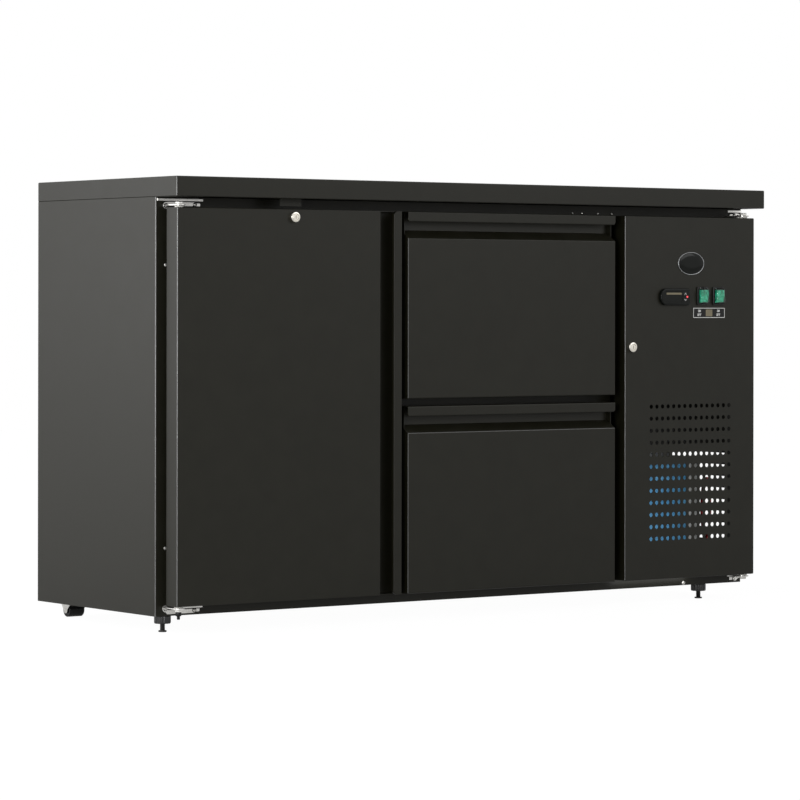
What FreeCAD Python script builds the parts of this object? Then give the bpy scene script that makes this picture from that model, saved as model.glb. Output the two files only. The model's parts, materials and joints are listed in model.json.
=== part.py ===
import FreeCAD, Part
import math
import os

from FreeCAD import Matrix, Rotation, Vector

# Back bar cooler with one hinged door, two bottle drawers and a machine bay.
# Millimetres. X runs along the front from left to right, Y runs from front to back, Z is up.
# Pieces are drawn from the front left floor corner, then moved so that the origin is the
# centre of the footprint on the floor.

# Overall size
overall_width = 1462.0
overall_depth = 513.0
overall_height = 860.0
front_setback = 18.0
cabinet_setback = 74.0
cabinet_clearance = 32.0

# Facets of round pieces
spindle_facets = 4
hole_facets = 5
pipe_facets = 6
nut_facets = 6
small_facets = 12
medium_facets = 16
large_facets = 24

# Fits
running_gap = 0.05
seat_gap = 0.3
overrun = 2.0
parallel_tolerance = 1.0

# Sheets
case_sheet = 1.0
base_sheet = 1.5
front_sheet = 1.2
liner_sheet = 0.8
zinc_sheet = 1.0
bend_radius = 2.0

# Worktop
worktop_thickness = 38.0
worktop_sheet = 1.2
worktop_return = 20.0

# Fronts: door, drawers and service panel
front_inset = 13.0
front_depth = 37.0
door_width = 520.0
door_gap = 14.5
panel_gap = 26.0
panel_width = 351.5
bottom_reveal = 21.0
top_reveal = 20.0
drawer_gap = 15.0
edge_return = 12.0

# Grip channel folded into the edge of each front
grip_zone = 52.5
grip_depth = 26.0
grip_rise = 16.0
grip_lip = 19.5
grip_hem = 7.0
grip_end_setback = 14.0
door_lip_radius = 8.0
drawer_lip_radius = 4.5

# Insulated walls and openings
side_wall = 42.0
back_wall = 42.0
floor_wall = 50.0
ceiling_wall = 41.0
partition_wall = 47.0
mullion_width = 72.0
mullion_depth = 40.0
cross_rail_height = 58.0
cross_rail_depth = 26.0
machine_left_overlap = 6.5
machine_right_flange = 40.0
post_return = 20.0
rear_flange = 20.0

# Door and drawer gaskets
gasket_width = 12.0
gasket_land = 1.0
gasket_base = 5.0
gasket_waist = 3.0
gasket_magnet = 6.0

# Door inner panel
plinth_height = 12.0
plinth_margin = 8.0
plinth_corner = 20.0

# Corner hinges
hinge_inset = 15.0
hinge_depth = 18.0
hinge_plate = 2.5
hinge_flange_height = 16.0
door_hinge_flange = 84.0
panel_hinge_flange = 36.0
hinge_flange_start = 14.0
hinge_lobe_radius = 8.0
hinge_lobe_inset = 8.0
hinge_arm_radius = 12.0
hinge_pin_radius = 4.0
hinge_pin_length = 16.0
hinge_nut_flats = 13.0
hinge_nut_height = 5.2
hinge_stem_radius = 3.0
hinge_stem_length = 14.0
bush_half_width = 6.5
bush_collar_radius = 8.5
bush_collar = 3.0
bush_wall = 2.0

# Cam locks
lock_radius = 10.5
lock_protrusion = 7.5
lock_barrel_radius = 9.5
lock_barrel_length = 15.0
lock_plug_radius = 6.0
lock_plug_recess = 0.8
key_slot_width = 1.2
key_slot_height = 7.0
key_slot_depth = 3.0
cam_width = 12.0
cam_thickness = 3.0
cam_gap = 0.4
door_lock_from_left = 264.0
door_lock_drop = 15.0
door_cam_reach = 28.0
door_cam_side = 2.0
keeper_width = 50.0
keeper_drop = 14.0
keeper_sheet = 1.5
panel_lock_from_left = 16.5
panel_lock_drop = 269.4
panel_cam_reach = 20.0
panel_cam_clearance = 1.5

# Service panel perforation
hole_columns = 15
hole_rows = 12
hole_radius = 4.4
hole_pitch_x = 15.1
hole_pitch_z = 24.8
hole_lowest = 83.7

# Temperature controller
controller_width = 78.0
controller_height = 35.0
controller_protrusion = 8.0
controller_centre_x = 129.5
controller_drop = 166.0
controller_body_width = 70.0
controller_body_height = 28.0
controller_body_depth = 45.0
controller_window_depth = 1.5
controller_window_width = 44.0
controller_window_height = 22.0
controller_window_offset = 5.0
controller_end_radius = 9.0
key_width = 8.0
key_height = 9.0
key_stand = 0.8
key_depth = 4.0
key_travel = 1.0
key_pitch = 12.0
key_offset = 25.0
key_gap = 0.15

# Rocker switches
switch_width = 30.0
switch_height = 38.0
switch_pitch = 43.2
switch_centre_x = 229.0
switch_drop = 164.0
switch_bezel_depth = 4.0
switch_bezel_edge = 3.0
switch_body_width = 25.0
switch_body_height = 32.0
switch_body_depth = 24.0
rocker_width = 20.0
rocker_height = 26.0
rocker_gap = 0.8
rocker_crown = 5.5
rocker_rise = 5.0
rocker_depth = 8.0
rocker_tail_share = 0.25
rocker_tilt = 8.0

# Levelling feet
foot_radius = 16.0
foot_height = 15.0
foot_flutes = 14
foot_flute_depth = 1.4
foot_stem_radius = 5.0
foot_stem_length = 34.0
foot_boss_radius = 9.0
foot_boss_height = 14.0
foot_setback = 26.0
left_foot_inset = 33.0
right_foot_inset = 96.0

# Rear rollers
roller_radius = 14.0
roller_length = 34.0
roller_bore_radius = 3.0
roller_inset = 45.0
roller_setback = 33.0
roller_side_gap = 0.5
bracket_sheet = 2.0
bracket_top_length = 43.0
bracket_foot_radius = 7.0

# Wire shelf and its supports
shelf_height_share = 0.47
shelf_bar = 6.0
shelf_wire = 3.0
shelf_wires = 13
shelf_margin = 2.0
shelf_gap = 6.0
strip_width = 15.0
strip_sheet = 2.5
strip_inset = 45.0
strip_share = 0.86
clip_length = 12.0
clip_height = 4.0

# Divider plate beside the drawers
divider_sheet = 1.5
divider_slots = 5
divider_slot_radius = 12.0
divider_slot_length = 150.0

# Drawers
runner_height = 45.0
runner_thickness = 13.0
runner_sheet = 1.2
runner_overhang = 14.0
runner_setback = 6.0
runner_drop_share = 0.45
drawer_headroom = 67.5
drawer_rear_gap = 32.0
drawer_box_sheet = 1.0
drawer_box_rim = 8.0
drawer_box_lift = 7.0

# Evaporator behind the drawers
cover_side_gap = 33.25
cover_height = 300.0
cover_depth = 54.0
cover_drop = 14.0
cover_sheet = 1.0
cover_slots = 7
cover_slot_width = 6.0
cover_slot_margin = 30.0
guard_radius_share = 0.13
guard_slots = 8
guard_slot_width_share = 0.02
guard_inset_share = 0.1875
evaporator_fins = 14
evaporator_fin_sheet = 1.0
evaporator_fin_depth = 8.0
evaporator_inset_share = 0.075
evaporator_width_share = 0.525
evaporator_height = 230.0
evaporator_depth = 34.0
evaporator_tube_radius = 4.0
evaporator_tube_rows = 5
evaporator_foot = 6.0
small_fan_radius_share = 0.12
small_fan_hub_share = 0.035
small_fan_hub_depth = 12.0
small_fan_blade_reach = 9.6
small_fan_motor_core = 8.0
small_fan_winding_share = 0.03
small_fan_motor_depth = 24.0
small_fan_shaft_radius = 2.5
small_fan_arm = 8.0

# Machine bay
chassis_sheet = 1.5
chassis_margin = 10.0
chassis_lip = 12.0
condenser_front_gap = 20.0
condenser_left_gap = 18.0
condenser_width = 232.0
condenser_height = 252.0
condenser_depth = 60.0
condenser_fins = 22
condenser_fin_sheet = 1.2
condenser_fin_depth = 12.0
condenser_end_sheet = 2.0
condenser_end_flange = 24.0
condenser_tube_radius = 4.5
condenser_tube_rows = 5
condenser_tube_layers = 2
condenser_port_share = 0.25
shroud_sheet = 1.0
shroud_opening_radius = 88.0
shroud_ring_depth = 18.0
shroud_top_band = 30.0
large_fan_radius = 84.0
large_fan_hub_radius = 20.0
large_fan_hub_depth = 18.0
large_fan_blade_reach = 16.7
large_fan_gap = 6.0
large_fan_motor_radius = 32.0
large_fan_motor_depth = 46.0
large_fan_shaft_radius = 3.0
large_fan_arm = 12.0
fan_blades = 5
fan_blade_sheet = 1.6
fan_blade_sweep = 52.0
fan_shaft_play = 2.0
full_turn = 360.0
compressor_radius = 74.0
compressor_height = 158.0
compressor_dome = 30.0
compressor_crown_radius = 46.0
compressor_seam_radius = 78.0
compressor_seam_height = 5.0
compressor_seam_share = 0.56
compressor_foot_span = 190.0
compressor_foot_depth = 120.0
compressor_foot_sheet = 3.0
compressor_pad_radius = 9.0
compressor_pad_height = 12.0
compressor_rear_gap = 30.0
terminal_width = 46.0
terminal_height = 58.0
terminal_depth = 24.0
terminal_drop = 8.0
pipe_radius = 3.2
pipe_bend = 16.0
pipe_rise = 60.0
pipe_header_gap = 6.0
pipe_port_offset = 30.0
box_width = 130.0
box_height = 150.0
box_depth = 52.0
box_rear_gap = 90.0
box_drop = 110.0
vent_slots = 8
vent_slot_height = 11.0
vent_slot_length = 230.0
vent_pitch = 24.8
vent_lowest = 92.6
vent_front_gap = 42.0
rear_vent_length = 270.0
rear_vent_slots = 10

# Levels
worktop_underside = overall_height - worktop_thickness
cabinet_bottom = cabinet_clearance
front_bottom = cabinet_bottom + bottom_reveal
front_top = worktop_underside - top_reveal
cavity_floor = cabinet_bottom + floor_wall
cavity_ceiling = worktop_underside - ceiling_wall
fronts_height = front_top - front_bottom
drawer_height = (fronts_height - drawer_gap) / 2
upper_drawer_bottom = front_top - drawer_height
cross_rail_centre = front_bottom + drawer_height + drawer_gap / 2
cross_rail_bottom = cross_rail_centre - cross_rail_height / 2
cross_rail_top = cross_rail_centre + cross_rail_height / 2

# Depths
front_face = front_setback
front_back = front_face + front_depth
cabinet_face = cabinet_setback
cabinet_inside = cabinet_face + case_sheet
cabinet_rear = overall_depth
back_sheet_rear = cabinet_rear - case_sheet
foam_rear = back_sheet_rear - case_sheet
cavity_rear = cabinet_rear - back_wall
channel_floor = front_face + grip_depth
mullion_rear = cabinet_face + mullion_depth

# Places along the front
door_left = front_inset
door_right = door_left + door_width
panel_right = overall_width - front_inset
panel_left = panel_right - panel_width
drawer_left = door_right + door_gap
drawer_right = panel_left - panel_gap
drawer_width = drawer_right - drawer_left
drawer_centre = (drawer_left + drawer_right) / 2
mullion_centre = (door_right + drawer_left) / 2
mullion_left = mullion_centre - mullion_width / 2
mullion_right = mullion_centre + mullion_width / 2
cavity_left = side_wall
cavity_right = 2 * drawer_centre - mullion_right
partition_left = cavity_right + partition_wall
partition_right = partition_left + zinc_sheet
machine_left = panel_left + machine_left_overlap
machine_right = overall_width - machine_right_flange
case_left = case_sheet
case_right = overall_width - case_sheet

# Hinge axes
door_axis_x = door_left + hinge_inset
panel_axis_x = panel_right - hinge_inset
hinge_axis_y = front_face + hinge_depth
door_lock_x = door_left + door_lock_from_left
door_lock_z = front_top - door_lock_drop
panel_lock_x = panel_left + panel_lock_from_left
panel_lock_z = front_top - panel_lock_drop

X_AXIS = Vector(1, 0, 0)
Y_AXIS = Vector(0, 1, 0)
Z_AXIS = Vector(0, 0, 1)
to_origin = Vector(-overall_width / 2, -overall_depth / 2, 0)


def block(x, y, z):
    """Box between two places along each axis."""
    size = (x[1] - x[0], y[1] - y[0], z[1] - z[0])
    return Part.makeBox(*size, Vector(x[0], y[0], z[0]))


def ring_points(radius, centre, axis, sides):
    """Corners of a regular polygon round an axis."""
    reference = Y_AXIS if abs(axis.x) > abs(axis.y) + abs(axis.z) else X_AXIS
    across = axis.cross(reference)
    across.normalize()
    points = []
    for step in range(sides):
        angle = 2 * math.pi * step / sides
        points.append(centre + reference * (radius * math.cos(angle)) + across * (radius * math.sin(angle)))
    return points


def rod(radius, start, end, sides=small_facets):
    """Faceted round bar from one point to another, inside its radius."""
    along = end - start
    return prism(ring_points(radius, start, along, sides), along)


def bore(radius, start, end, sides=small_facets):
    """Cutter for a faceted round hole, outside its radius."""
    return rod(radius / math.cos(math.pi / sides), start, end, sides)


def round_bar(radius, start, end):
    """True round bar from one point to another."""
    along = end - start
    return Part.makeCylinder(radius, along.Length, start, along)


def frustum(low_radius, high_radius, start, end, sides):
    """Faceted cone from one point to another."""
    along = end - start
    low = ring_points(low_radius, start, along, sides)
    high = ring_points(high_radius, end, along, sides)
    outlines = [low, high]
    for step in range(sides):
        outlines.append([low[step - 1], low[step], high[step], high[step - 1]])
    faces = [Part.Face(Part.makePolygon(points + points[:1])) for points in outlines]
    return Part.Solid(Part.makeShell(faces))


def prism(points, sweep):
    """Straight extrusion of a closed outline."""
    outline = Part.makePolygon(points + points[:1])
    return Part.Face(outline).extrude(sweep)


def union(shapes):
    """One solid from pieces that meet."""
    joined = shapes[0].multiFuse(shapes[1:])
    return joined.removeSplitter()


def group(shapes):
    """Several solids kept apart in one node."""
    return Part.makeCompound([solid for shape in shapes for solid in shape.Solids])


def mirror_x(shape, centre):
    return shape.mirror(Vector(centre, 0, 0), X_AXIS)


def mirror_z(shape, centre):
    return shape.mirror(Vector(0, 0, centre), Z_AXIS)


def edges_along(shape, axis, test):
    """Straight edges parallel to an axis whose middle passes a test."""
    found = []
    for edge in shape.Edges:
        if len(edge.Vertexes) != 2:
            continue
        ends = edge.Vertexes[1].Point - edge.Vertexes[0].Point
        parallel = abs(ends.dot(axis)) > ends.Length * math.cos(math.radians(parallel_tolerance))
        if parallel and test(edge.CenterOfMass):
            found.append(edge)
    return found


def near(a, b):
    return abs(a - b) < running_gap


def rounded(shape, radius, axis, test):
    """Shape with chosen straight edges rounded."""
    return shape.makeFillet(radius, edges_along(shape, axis, test))


def chamfered(shape, size, axis, test):
    """Shape with chosen straight edges bevelled."""
    return shape.makeChamfer(size, edges_along(shape, axis, test))


def everywhere(point):
    return True


def slot_cutter(centre, half_run, half_height, run_axis, through):
    """Cutter for a slot with tapered ends."""
    side = through.cross(run_axis)
    side.normalize()
    outline = [
        centre - run_axis * half_run,
        centre - run_axis * (half_run - half_height) - side * half_height,
        centre + run_axis * (half_run - half_height) - side * half_height,
        centre + run_axis * half_run,
        centre + run_axis * (half_run - half_height) + side * half_height,
        centre - run_axis * (half_run - half_height) + side * half_height,
    ]
    return prism(outline, through)


def bent_pipe(points, radius, bend):
    """Faceted pipe along straight runs, with a short slanting run across each corner."""
    stops = [points[0]]
    for before, corner, after in zip(points, points[1:], points[2:]):
        stops.append(corner + (before - corner).normalize() * bend)
        stops.append(corner + (after - corner).normalize() * bend)
    stops.append(points[-1])
    path = Part.makePolygon(stops)
    corners = ring_points(radius, points[0], points[1] - points[0], pipe_facets)
    ring = Part.makePolygon(corners + corners[:1])
    return path.makePipeShell([ring], True, False, 1)


def save(name, shape):
    """Move a piece to the origin and write it."""
    placed = shape.copy()
    placed.translate(to_origin)
    placed.exportStep(os.path.join("parts", name + ".step"))


# Fronts with a grip channel
# Drawn lying down: X across the channel, Y as depth, Z along the channel.


def slope_at(run, depth, offset):
    """Place across the front of the channel's sloping side at a depth, moved in by an offset."""
    steepness = math.hypot(grip_rise, grip_depth)
    return run - grip_zone + (depth * grip_rise - offset * steepness) / grip_depth


def grip_skin(run, span):
    """Sheet front: face, channel, rear edges and end walls."""
    sheet = front_sheet
    face = front_face
    floor = channel_floor
    back = front_back
    outer = [
        (0, back),
        (0, face),
        (run - grip_zone, face),
        (slope_at(run, grip_depth, 0), floor),
        (run, floor),
        (run, back),
        (run - sheet, back),
        (run - sheet, floor + sheet),
        (slope_at(run, grip_depth + sheet, sheet), floor + sheet),
        (slope_at(run, sheet, sheet), face + sheet),
        (sheet, face + sheet),
        (sheet, back),
    ]
    shell = prism([Vector(x, y, 0) for x, y in outer], Z_AXIS * span)
    cap_face = face + grip_end_setback
    cap_start = slope_at(run, grip_end_setback, 0)
    wall = [
        (0, back),
        (0, face),
        (run - grip_zone, face),
        (cap_start, cap_face),
        (run, cap_face),
        (run, back),
    ]
    walls = []
    for level in (0, span - sheet):
        walls.append(prism([Vector(x, y, level) for x, y in wall], Z_AXIS * sheet))
    skin = union([shell] + walls)
    skin = rounded(skin, bend_radius, Z_AXIS, lambda p: near(p.x, 0) and near(p.y, face))
    return skin


def grip_edge(run, span, lip_radius):
    """Outer wall of the channel, and the hemmed lip that stands over the channel's mouth."""
    sheet = front_sheet
    face = front_face
    wall = block((run - sheet, run), (face + sheet, channel_floor), (0, span))
    for level in (0, span - sheet):
        wall = wall.cut(
            block((run - sheet, run), (face + grip_end_setback, channel_floor), (level, level + sheet))
        )
    lip_edge = run - grip_lip
    lip = block((lip_edge, run), (face, face + sheet), (0, span))
    lip = rounded(lip, lip_radius, Y_AXIS, lambda p: near(p.x, lip_edge))
    hem = block(
        (lip_edge, lip_edge + sheet), (face, face + grip_hem), (lip_radius, span - lip_radius)
    )
    return group([wall, union([lip, hem])])


def grip_core(run, span, back):
    """Foam that fills the front behind its skin."""
    sheet = front_sheet
    deep = channel_floor + sheet
    points = [
        (sheet, back),
        (sheet, front_face + sheet),
        (slope_at(run, sheet, sheet), front_face + sheet),
        (slope_at(run, grip_depth + sheet, sheet), deep),
        (run - sheet, deep),
        (run - sheet, back),
    ]
    return prism([Vector(x, y, sheet) for x, y in points], Z_AXIS * (span - 2 * sheet))


def stand_up(shape, left, bottom, span):
    """Turn a lying front so that its channel runs along X at the top."""
    turned = shape.copy()
    turned.rotate(Vector(0, 0, 0), Y_AXIS, -90)
    turned.translate(Vector(left + span, 0, bottom))
    return turned


def gasket_ring(x, z, face):
    """Gasket round an opening: base, narrow bellows and magnet strip."""
    layers = (
        (face, face + gasket_base, 0),
        (face + gasket_base, cabinet_face - seat_gap - gasket_magnet, gasket_waist),
        (cabinet_face - seat_gap - gasket_magnet, cabinet_face - seat_gap, gasket_land),
    )
    rings = []
    inner = gasket_land
    outer = gasket_land + gasket_width
    for low, high, inset in layers:
        out = outer - inset
        hole = inner + inset
        ring = block((x[0] - out, x[1] + out), (low, high), (z[0] - out, z[1] + out))
        core = block((x[0] - hole, x[1] + hole), (low, high), (z[0] - hole, z[1] + hole))
        rings.append(ring.cut(core))
    return union(rings)


# Case


def make_worktop():
    skin = block((0, overall_width), (0, overall_depth), (worktop_underside, overall_height))
    top_edges = edges_along(skin, X_AXIS, lambda p: near(p.z, overall_height))
    skin = skin.makeFillet(worktop_sheet, top_edges)
    sheet = worktop_sheet
    hollow = block(
        (sheet, overall_width - sheet),
        (sheet, overall_depth - sheet),
        (worktop_underside + sheet, overall_height - sheet),
    )
    inset = worktop_return
    mouth = block(
        (inset, overall_width - inset),
        (inset, overall_depth - inset),
        (worktop_underside - overrun, worktop_underside + sheet),
    )
    return skin.cut(hollow).cut(mouth).removeSplitter()


def make_keeper():
    """Angle under the worktop that the door lock's cam rises behind."""
    front = front_face + lock_barrel_length + cam_gap - keeper_sheet - cam_gap
    x = (door_lock_x - keeper_width / 2, door_lock_x + keeper_width / 2)
    lip = block(x, (front - keeper_sheet, front), (worktop_underside - keeper_drop, worktop_underside))
    flange = block(
        x, (front - keeper_sheet, cabinet_face), (worktop_underside - keeper_sheet, worktop_underside)
    )
    return union([lip, flange])


def make_case_top():
    sheet = block(
        (case_left, case_right),
        (cabinet_inside, foam_rear),
        (worktop_underside - case_sheet, worktop_underside),
    )
    face = block(
        (cavity_left, machine_right), (cabinet_face, cabinet_inside), (cavity_ceiling, worktop_underside)
    )
    return union([sheet, face])


def vent_cutters(centre_y, centre_x, run_axis, through, length, count):
    """Row of round-ended air slots, one above the other."""
    cutters = []
    for step in range(count):
        level = cabinet_bottom + vent_lowest + step * vent_pitch
        centre = Vector(centre_x, centre_y, level)
        cutters.append(slot_cutter(centre, length / 2, vent_slot_height / 2, run_axis, through))
    return cutters


def make_side_panel(front_flange):
    """Left-hand side panel with flanges folded round the front and back corners."""
    z = (cabinet_bottom, worktop_underside)
    web = block((0, case_sheet), (cabinet_face, cabinet_rear), z)
    front = block((0, front_flange), (cabinet_face, cabinet_inside), z)
    rear = block((0, rear_flange), (back_sheet_rear, cabinet_rear), z)
    panel = union([web, front, rear])
    return rounded(
        panel,
        case_sheet,
        Z_AXIS,
        lambda p: near(p.x, 0) and (near(p.y, cabinet_face) or near(p.y, cabinet_rear)),
    )


def make_right_side_panel():
    panel = mirror_x(make_side_panel(machine_right_flange), overall_width / 2)
    centre_y = cabinet_face + vent_front_gap + vent_slot_length / 2
    through = X_AXIS * (case_sheet + 2 * overrun)
    start = case_right - overrun
    return panel.cut(
        vent_cutters(centre_y, start, Y_AXIS, through, vent_slot_length, vent_slots)
    )


def make_back_panel():
    panel = block((case_left, case_right), (foam_rear, back_sheet_rear), (cabinet_bottom, worktop_underside))
    centre_x = (partition_right + case_right) / 2
    through = Y_AXIS * (case_sheet + 2 * overrun)
    start = foam_rear - overrun
    return panel.cut(
        vent_cutters(start, centre_x, X_AXIS, through, rear_vent_length, rear_vent_slots)
    )


def foot_places():
    y = cabinet_face + foot_setback
    return (Vector(left_foot_inset, y, 0), Vector(overall_width - right_foot_inset, y, 0))


def make_base_pan():
    floor = block(
        (case_left, case_right), (cabinet_inside, foam_rear), (cabinet_bottom, cabinet_bottom + base_sheet)
    )
    face = block(
        (cavity_left, machine_right), (cabinet_face, cabinet_inside), (cabinet_bottom, cavity_floor)
    )
    pan = [floor, face]
    bores = []
    for place in foot_places():
        base = place + Z_AXIS * cabinet_bottom
        top = base + Z_AXIS * (base_sheet + foot_boss_height)
        pan.append(rod(foot_boss_radius, base, top))
        bores.append(bore(foot_stem_radius + running_gap, base - Z_AXIS * overrun, top + Z_AXIS * overrun))
    return union(pan).cut(bores)


def make_cabinet_foam():
    foam = block(
        (case_left, partition_left),
        (cabinet_inside, foam_rear),
        (cabinet_bottom + base_sheet, worktop_underside - case_sheet),
    )
    cavity = block(
        (cavity_left - liner_sheet, cavity_right + liner_sheet),
        (cabinet_inside - overrun, cavity_rear + liner_sheet),
        (cavity_floor - liner_sheet, cavity_ceiling + liner_sheet),
    )
    place = foot_places()[0]
    half = foot_boss_radius
    pocket = block(
        (place.x - half, place.x + half),
        (place.y - half, place.y + half),
        (cabinet_bottom, foot_height + foot_stem_length + seat_gap),
    )
    return foam.cut([cavity, pocket])


def make_inner_liner():
    outer = block(
        (cavity_left - liner_sheet, cavity_right + liner_sheet),
        (cabinet_inside, cavity_rear + liner_sheet),
        (cavity_floor - liner_sheet, cavity_ceiling + liner_sheet),
    )
    inner = block(
        (cavity_left, cavity_right), (cabinet_inside - overrun, cavity_rear), (cavity_floor, cavity_ceiling)
    )
    return outer.cut(inner)


def make_partition_panel():
    return block(
        (partition_left, partition_right),
        (cabinet_inside, foam_rear),
        (cabinet_bottom + base_sheet, worktop_underside - case_sheet),
    )


def make_front_posts():
    z = (cavity_floor, cavity_ceiling)
    mullion = block((mullion_left, mullion_right), (cabinet_face, mullion_rear), z)
    face = block((cavity_right, machine_left), (cabinet_face, cabinet_inside), z)
    turned = block(
        (machine_left - case_sheet, machine_left), (cabinet_face, cabinet_inside + post_return), z
    )
    cam_window = block(
        (machine_left - case_sheet - overrun, machine_left + overrun),
        (cabinet_inside, panel_cam_start + cam_thickness + panel_cam_clearance),
        (panel_lock_z - cam_width / 2 - overrun, panel_lock_z + panel_cam_reach),
    )
    return group([mullion, union([face, turned]).cut(cam_window)])


def make_cross_rail():
    return block(
        (mullion_right, cavity_right),
        (cabinet_face, cabinet_face + cross_rail_depth),
        (cross_rail_bottom, cross_rail_top),
    )


def make_divider():
    plate = block(
        (mullion_right - divider_sheet, mullion_right),
        (mullion_rear, cavity_rear),
        (cavity_floor, cavity_ceiling),
    )
    middle_y = (mullion_rear + cavity_rear) / 2
    rise = (cavity_ceiling - cavity_floor) / (divider_slots + 1)
    cutters = []
    for step in range(divider_slots):
        level = cavity_floor + rise * (step + 1)
        start = Vector(mullion_right - divider_sheet - overrun, middle_y, level)
        cutters.append(
            slot_cutter(
                start,
                divider_slot_length / 2,
                divider_slot_radius,
                Y_AXIS,
                X_AXIS * (divider_sheet + 2 * overrun),
            )
        )
    return plate.cut(cutters)


# Shelf

shelf_level = cavity_floor + (cavity_ceiling - cavity_floor) * shelf_height_share
strip_left_face = cavity_left + strip_sheet
strip_right_face = mullion_right - divider_sheet - strip_sheet
strip_places = (mullion_rear + strip_inset, cavity_rear - strip_inset)


def make_shelf_supports():
    strips = []
    height = (cavity_ceiling - cavity_floor) * strip_share
    low = (cavity_floor + cavity_ceiling - height) / 2
    for y in strip_places:
        depth = (y - strip_width / 2, y + strip_width / 2)
        strip = block((cavity_left, strip_left_face), depth, (low, low + height))
        clip = block(
            (strip_left_face, strip_left_face + clip_length), depth, (shelf_level - clip_height, shelf_level)
        )
        left = union([strip, clip])
        strips.append(left)
        strips.append(mirror_x(left, (strip_left_face + strip_right_face) / 2))
    return group(strips)


def make_wire_shelf():
    """Square frame with wires flush with its top and one bar under their middle."""
    x = (strip_left_face + shelf_margin, strip_right_face - shelf_margin)
    y = (mullion_rear + shelf_gap, cavity_rear - shelf_gap)
    z = (shelf_level, shelf_level + shelf_bar)
    inner_x = (x[0] + shelf_bar, x[1] - shelf_bar)
    inner_y = (y[0] + shelf_bar, y[1] - shelf_bar)
    frame = block(x, y, z).cut(block(inner_x, inner_y, z))
    middle = (y[0] + y[1]) / 2
    wire_z = (z[1] - shelf_wire, z[1])
    pieces = [frame]
    pieces.append(block(inner_x, (middle - shelf_bar / 2, middle + shelf_bar / 2), (z[0], wire_z[0])))
    for step in range(shelf_wires):
        place = inner_x[0] + (inner_x[1] - inner_x[0]) * (step + 1) / (shelf_wires + 1)
        pieces.append(block((place - shelf_wire / 2, place + shelf_wire / 2), inner_y, wire_z))
    return union(pieces)


# Runners, drawn for the left side and mirrored for the right

upper_box_bottom = cross_rail_top + drawer_box_lift
lower_box_bottom = cavity_floor + drawer_box_lift
drawer_box_height = cavity_ceiling - drawer_headroom - upper_box_bottom
drawer_box_rear = cavity_rear - cover_depth - drawer_rear_gap
runner_front = cabinet_inside + runner_setback
runner_rear = drawer_box_rear + runner_overhang


def channel(x, outward, half_height, z, y):
    """C-shaped runner member with its web at one side."""
    web_x = (x[0], x[0] + runner_sheet) if outward else (x[1] - runner_sheet, x[1])
    web = block(web_x, y, (z - half_height, z + half_height))
    top = block(x, y, (z + half_height - runner_sheet, z + half_height))
    bottom = block(x, y, (z - half_height, z - half_height + runner_sheet))
    return union([web, top, bottom])


def runner_members(box_bottom):
    """Fixed, middle and drawer members of the left and right runners."""
    z = box_bottom + drawer_box_height * runner_drop_share
    y = (runner_front, runner_rear)
    step = runner_sheet + seat_gap
    wall = mullion_right
    fixed = channel((wall, wall + runner_thickness - step), True, runner_height / 2, z, y)
    middle = channel(
        (wall + step, wall + runner_thickness - runner_sheet - seat_gap), True, runner_height / 2 - step, z, y
    )
    inner = channel(
        (wall + 2 * step, wall + runner_thickness), False, runner_height / 2 - 2 * step, z, y
    )
    members = []
    for member in (fixed, middle, inner):
        members.append((member, mirror_x(member, drawer_centre)))
    return members


def make_drawer_box(box_bottom, front_bottom_z):
    """Open bottle tray with its runner members, and the plate that closes the front's back."""
    x = (mullion_right + runner_thickness, 2 * drawer_centre - mullion_right - runner_thickness)
    y = (front_back, drawer_box_rear)
    z = (box_bottom, box_bottom + drawer_box_height)
    sheet = drawer_box_sheet
    tray = block(x, y, z)
    hollow = block((x[0] + sheet, x[1] - sheet), (y[0] + sheet, y[1] - sheet), (z[0] + sheet, z[1] - sheet))
    rim = drawer_box_rim
    mouth = block(
        (x[0] + rim, x[1] - rim), (y[0] + rim, y[1] - rim), (z[1] - sheet - overrun, z[1] + overrun)
    )
    tray = tray.cut([hollow, mouth])
    plate = block(
        (drawer_left + front_sheet, drawer_right - front_sheet),
        (front_back - sheet, front_back),
        (front_bottom_z + front_sheet, front_bottom_z + drawer_height - front_sheet),
    )
    inner_pair = runner_members(box_bottom)[2]
    return union([tray, plate, inner_pair[0], inner_pair[1]])


def make_drawer_front(bottom):
    skin = grip_skin(drawer_height, drawer_width)
    return stand_up(skin, drawer_left, bottom, drawer_width)


def make_drawer_grip_edge(bottom):
    edge = grip_edge(drawer_height, drawer_width, drawer_lip_radius)
    return stand_up(edge, drawer_left, bottom, drawer_width)


def make_drawer_foam(bottom):
    core = grip_core(drawer_height, drawer_width, front_back - drawer_box_sheet)
    return stand_up(core, drawer_left, bottom, drawer_width)


# Hinges


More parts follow.
